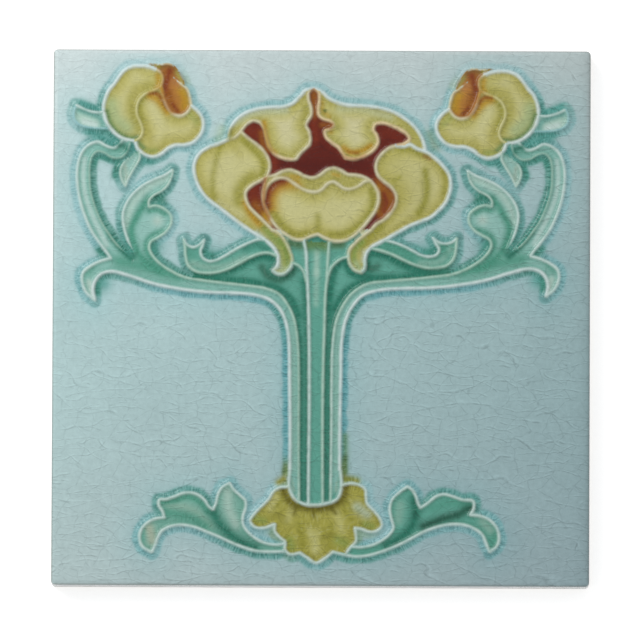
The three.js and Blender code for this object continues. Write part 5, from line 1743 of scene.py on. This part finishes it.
class Nodes:
    """Builds one node material by short calls."""

    def __init__(self, name):
        self.material = bpy.data.materials.new(name)
        self.material.use_nodes = True
        self.tree = self.material.node_tree
        self.shader = self.tree.nodes["Principled BSDF"]

    def put(self, socket, value):
        if hasattr(value, "is_output"):
            self.tree.links.new(value, socket)
        elif value is not None:
            socket.default_value = value

    def surface(self, inputs):
        for key, value in inputs.items():
            self.put(self.shader.inputs[key], value)

    def node(self, kind, inputs=(), **settings):
        node = self.tree.nodes.new(kind)
        for key, value in settings.items():
            setattr(node, key, value)
        for key, value in dict(inputs).items():
            self.put(node.inputs[key], value)
        return node

    def math(self, operation, a, b=None, c=None, clamp=False):
        inputs = {0: a, 1: b, 2: c}
        return self.node("ShaderNodeMath", inputs, operation=operation, use_clamp=clamp).outputs[0]

    def vector(self, operation, a, b):
        second = "Scale" if operation == "SCALE" else 1
        return self.node("ShaderNodeVectorMath", {0: a, second: b}, operation=operation).outputs[0]

    def ramp(self, value, low, high, start=0.0, end=1.0):
        """Maps low..high of a value smoothly to start..end."""
        inputs = {"Value": value, "From Min": low, "From Max": high, "To Min": start, "To Max": end}
        return self.node("ShaderNodeMapRange", inputs, interpolation_type="SMOOTHSTEP").outputs[0]

    def mix(self, share, a, b, blend="MIX"):
        inputs = {0: share, 6: a, 7: b}
        return self.node("ShaderNodeMix", inputs, data_type="RGBA", blend_type=blend).outputs[2]

    def times(self, shade, value, amount, level=1.0):
        """The shade, multiplied by a level plus an amount of the value."""
        return self.math("MULTIPLY", shade, self.math("MULTIPLY_ADD", value, amount, level))

    def attribute(self, name, output="Fac"):
        return self.node("ShaderNodeAttribute", attribute_name=name).outputs[output]

    def millimetres(self):
        return self.vector("SCALE", self.node("ShaderNodeTexCoord").outputs["Object"], 1 / MM)

    def axes(self, place):
        return self.node("ShaderNodeSeparateXYZ", {0: place}).outputs

    def noise(self, place, scale, detail=2.0, roughness=0.5):
        inputs = {"Vector": place, "Scale": scale, "Detail": detail, "Roughness": roughness}
        return self.node("ShaderNodeTexNoise", inputs).outputs

    def patches(self, place, scale, detail, low, high, start=0.0, end=1.0):
        """Soft patches of noise, where its values low..high become start..end."""
        return self.ramp(self.noise(place, scale, detail)["Fac"], low, high, start, end)

    def moved(self, place, offset):
        return self.vector("ADD", place, offset)

    def warped(self, place, scale, reach, seed):
        """Pushes places about by up to a reach, in slow waves."""
        wave = self.noise(self.moved(place, (seed, seed * WARP_SEED_SHIFT, 0)), scale)["Color"]
        push = self.vector("SCALE", self.vector("SUBTRACT", wave, (0.5, 0.5, 0.5)), 2 * reach)
        return self.moved(place, push)

    def mapped(self, place, seed, angle, scale):
        """Places shifted by a seed, turned by an angle and scaled."""
        return self.node("ShaderNodeMapping", {
            "Vector": place, "Location": (seed * SEED_SHIFT[0], seed * SEED_SHIFT[1], 0),
            "Rotation": (0, 0, angle), "Scale": scale,
        }).outputs[0]

    def cracks(self, place, cell, width, seed, warp, angle, stretch):
        """Fine crazing lines: the edges of warped cells, as 1 on a line and 0 off it."""
        place = self.warped(place, WARP_WAVES / cell, warp, seed)
        place = self.mapped(place, seed, angle, (1 / cell, stretch / cell, 0))
        cells = self.node(
            "ShaderNodeTexVoronoi", {"Vector": place, "Scale": 1.0}, feature="DISTANCE_TO_EDGE",
            voronoi_dimensions="2D",
        )
        share = width / cell
        return self.ramp(cells.outputs["Distance"], CRACK_NET_CORE * share, share, 1.0, 0.0)

    def arcs(self, place, spacing, sway, seed, angle):
        """Long curved cracks side by side, as a saw-tooth that jumps from 1 to 0 at each crack."""
        inputs = {
            "Vector": self.mapped(place, seed, angle, (RUN_STRETCH, 1, 0)),
            "Scale": WAVE_LENGTH / spacing, "Distortion": sway, **RUN_DETAIL,
        }
        wave = self.node("ShaderNodeTexWave", inputs, bands_direction="Y", wave_profile="SAW")
        return wave.outputs["Fac"]

    def bump(self, height, distance):
        inputs = {"Strength": 1.0, "Distance": distance * MM, "Height": height}
        self.surface({"Normal": self.node("ShaderNodeBump", inputs).outputs[0]})


def rgba(name):
    return (*linear(name), 1.0)


def crazing_of(m, place):
    """The net of cracks in the glaze, and a painted highlight just above each long one."""
    crazing = m.math("MULTIPLY", m.cracks(place, **CRACK_NET), CRACK_NET_SHARE)
    crack_highlights = None
    for spacing, sway, seed, angle in CRACK_RUNS:
        run = m.arcs(place, spacing, sway, seed, angle)
        shown = m.patches(m.moved(place, (seed * RUN_SEED_SHIFT, 0, 0)), *SHOWN_PATCHES)
        core = [CRACK_WIDTH / spacing * share for share in CRACK_CORE]
        # Painted highlight: a pale band just above each crack, on the side that faces the light
        foot, top, end = [CRACK_WIDTH / spacing * share for share in CRACK_HIGHLIGHT_BAND]
        crack = m.math("MULTIPLY", m.ramp(run, *core, 1.0, 0.0), shown)
        crack_highlight = m.math("MULTIPLY", m.ramp(run, foot, top), m.ramp(run, top, end, 1.0, 0.0))
        crack_highlight = m.math("MULTIPLY", crack_highlight, shown)
        crazing = m.math("MAXIMUM", crazing, crack)
        crack_highlights = crack_highlight if crack_highlights is None else m.math("MAXIMUM", crack_highlights, crack_highlight)
    x, y, z = m.axes(place)
    lower_right = m.ramp(m.math("SUBTRACT", x, y), *CRACK_SLOPE)
    fade = m.math("MULTIPLY", m.patches(place, *FAINT_PATCHES), lower_right)
    return m.math("MULTIPLY", crazing, fade), m.math("MULTIPLY", crack_highlights, fade)


def fringe_of(m, place, gap):
    """The dark ticks and the pale glints in the glaze that pooled beside the ribs."""
    beside = {"X": m.attribute("along"), "Y": m.math("MULTIPLY", gap, TICK_STRETCH)}
    hair = m.noise(m.node("ShaderNodeCombineXYZ", beside).outputs[0], TICK_SCALE)["Fac"]
    patch = m.patches(place, *TICK_PATCHES)
    pool = m.attribute("pool")
    shares = []
    for values in (TICK_VALUES, GLINT_VALUES):
        share = m.math("MULTIPLY", m.ramp(hair, *values), patch)
        shares.append(m.math("MULTIPLY", share, pool, clamp=True))
    return shares


def shade_of(m, place, mottle, crazing, crack_highlights):
    """How light or dark the glaze is from place to place, as a grey, with painted highlights above
    the long cracks.
    """
    shade = m.math("MULTIPLY_ADD", mottle, MOTTLE_SWING, 1 - MOTTLE_SWING / 2)
    for scale, swing in (SPECKS, CLOUDS):
        shade = m.times(shade, m.noise(place, scale)["Fac"], swing, 1 - swing / 2)
    # Darker in the cracks, with a painted highlight above the long ones
    shade = m.times(m.times(shade, crazing, CRACK_SHADE), crack_highlights, CRACK_HIGHLIGHT)
    return m.node("ShaderNodeCombineColor", {0: shade, 1: shade, 2: shade}).outputs[0]


def glaze_material():
    """Coloured glazes, thin and pale on the ribs, pooled and dark beside them, crazed all over."""
    m = Nodes("crazed_glaze")
    place = m.millimetres()
    wander = m.noise(place, RIB_WANDER_SCALE)["Fac"]
    nearest = m.math("SUBTRACT", m.attribute("rib_gap"), RIB_WANDER / 2)
    gap = m.math("MULTIPLY_ADD", wander, RIB_WANDER, nearest)
    rib = m.ramp(m.math("SUBTRACT", gap, m.attribute("rib_half")), *RIB_SOFTNESS, 1.0, 0.0)
    worn = m.patches(m.moved(place, WORN_SHIFT), *WORN_PATCHES)
    ticks, glints = fringe_of(m, place, gap)
    mottle = m.noise(place, *MOTTLE)["Fac"]
    crazing, crack_highlights = crazing_of(m, place)

    shade = shade_of(m, place, mottle, crazing, crack_highlights)
    colour = m.mix(1.0, m.attribute("glaze", "Color"), shade, "MULTIPLY")
    pooled = m.mix(1.0, m.mix(1.0, colour, colour, "MULTIPLY"), rgba("pool_lift"), "MULTIPLY")
    colour = m.mix(m.math("MULTIPLY", ticks, TICK_SHARE), colour, pooled)
    colour = m.mix(m.math("MULTIPLY", glints, GLINT_SHARE), colour, rgba("mist"))
    colour = m.mix(m.math("MULTIPLY", rib, worn), colour, m.attribute("rib_tint", "Color"))
    stain = m.math("MULTIPLY", crazing, STAIN_SHARE)
    colour = m.mix(stain, colour, rgba("crack_stain"), "MULTIPLY")

    rough = m.math("MULTIPLY_ADD", mottle, MOTTLE_ROUGHNESS, GLAZE_ROUGHNESS)
    m.surface({
        "Base Color": colour, "Roughness": m.math("MULTIPLY_ADD", crazing, CRACK_ROUGHNESS, rough),
        "IOR": GLAZE_IOR, "Specular IOR Level": GLAZE_SPECULAR,
    })
    rise = m.math("MULTIPLY", mottle, MOTTLE_RISE)
    m.bump(m.math("MULTIPLY_ADD", crazing, -CRACK_DIP, rise), GLAZE_BUMP)
    return m.material


def biscuit_nodes(m, place):
    grain = m.noise(place, *BISCUIT_GRAIN)["Fac"]
    colour = m.mix(m.patches(place, *STAIN_PATCHES), rgba("biscuit"), rgba("biscuit_stain"))
    return m.mix(m.ramp(grain, *GRAIN_SHARES), colour, rgba("biscuit_dark")), grain


def edge_material():
    """The sides: pale glaze runs over the arris and ends in a ragged line on the bare clay; glaze
    and clay are greyed with painted shade, darkest at the arris.
    """
    m = Nodes("glazed_edge")
    place = m.millimetres()
    clay, grain = biscuit_nodes(m, place)
    # Painted shade: the side clay is mostly greyed towards a shaded colour
    clay = m.mix(SIDE_CLAY_SHARE, clay, rgba("side_clay"))
    x, y, z = m.axes(place)
    line = m.math("MULTIPLY_ADD", m.noise(place, *RUN_NOISE)["Fac"], -RUN_DEPTH, z)
    glazed = m.ramp(line, *RUN_LINE)
    # Painted shade: the side glaze darkens upwards to the arris
    glaze = m.mix(m.ramp(z, *ARRIS_HEIGHTS), rgba("side_glaze"), rgba("arris"))
    m.surface({
        "Base Color": m.mix(glazed, clay, glaze),
        "Roughness": m.ramp(glazed, 0.0, 1.0, *SIDE_ROUGHNESS),
    })
    m.bump(m.math("MULTIPLY_ADD", glazed, SIDE_GLAZE_RISE, grain), SIDE_BUMP)
    return m.material


def biscuit_material():
    """The unglazed back: cream fired clay, slightly stained and sandy."""
    m = Nodes("biscuit_clay")
    clay, grain = biscuit_nodes(m, m.millimetres())
    m.surface({"Base Color": clay, "Roughness": BISCUIT_ROUGHNESS})
    m.bump(grain, BISCUIT_BUMP)
    return m.material


def floor():
    """A plain pale floor under the tile."""
    mesh = bpy.data.meshes.new("floor")
    r = FLOOR_REACH
    mesh.from_pydata([(-r, -r, 0), (r, -r, 0), (r, r, 0), (-r, r, 0)], [], [(0, 1, 2, 3)])
    m = Nodes("pale_floor")
    m.surface({
        "Base Color": FLOOR_COLOUR, "Roughness": FLOOR_ROUGHNESS, "Emission Color": WHITE,
        "Emission Strength": FLOOR_GLOW,
    })
    mesh.materials.append(m.material)
    plane = bpy.data.objects.new("floor", mesh)
    bpy.context.scene.collection.objects.link(plane)
    plane.location.z = -FLOOR_DROP


def soft_light(name, place, size, power):
    """A square area light that shines on the tile."""
    light = bpy.data.lights.new(name, "AREA")
    light.shape = "SQUARE"
    light.size = size
    light.energy = power
    lamp = bpy.data.objects.new(name, light)
    lamp.location = place
    lamp.rotation_euler = (-Vector(place)).to_track_quat("-Z", "Y").to_euler()
    bpy.context.scene.collection.objects.link(lamp)


def lights():
    world = bpy.data.worlds.new("studio")
    world.use_nodes = True
    sky = world.node_tree.nodes["Background"]
    sky.inputs["Color"].default_value = WHITE
    sky.inputs["Strength"].default_value = SKY_STRENGTH
    bpy.context.scene.world = world
    for name, light in LIGHTS.items():
        soft_light(name, **light)


def camera():
    """Looks down on the tile as the photograph does, a little from below its middle."""
    per_pixel = TILE_WIDTH * MM / PHOTO_TILE_WIDTH
    tilt = math.radians(CAMERA_TILT)
    back = Vector((0, -math.sin(tilt), math.cos(tilt)))
    right = Vector((1, 0, 0))
    up = back.cross(right)
    middle = PHOTO_SIZE / 2
    aim = Vector((0, 0, GROUND_LEVEL * MM))
    aim += right * (middle - PHOTO_CENTRE[0]) * per_pixel
    aim -= up * (middle - PHOTO_CENTRE[1]) * per_pixel
    data = bpy.data.cameras.new("camera")
    data.sensor_width = SENSOR_WIDTH
    data.lens = data.sensor_width * CAMERA_DISTANCE / (PHOTO_SIZE * per_pixel)
    data.clip_end = CLIP_END
    cam = bpy.data.objects.new("camera", data)
    turn = Matrix.Rotation(math.radians(PHOTO_TURN), 3, back)
    basis = Matrix((right, up, back)).transposed()
    cam.matrix_world = Matrix.Translation(aim + back * CAMERA_DISTANCE) @ (turn @ basis).to_4x4()
    bpy.context.scene.collection.objects.link(cam)
    bpy.context.scene.camera = cam


camera()
floor()
lights()
bpy.context.scene.view_settings.view_transform = "Standard"

tile = glazed_tile()
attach(tile, "root")
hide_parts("tile")
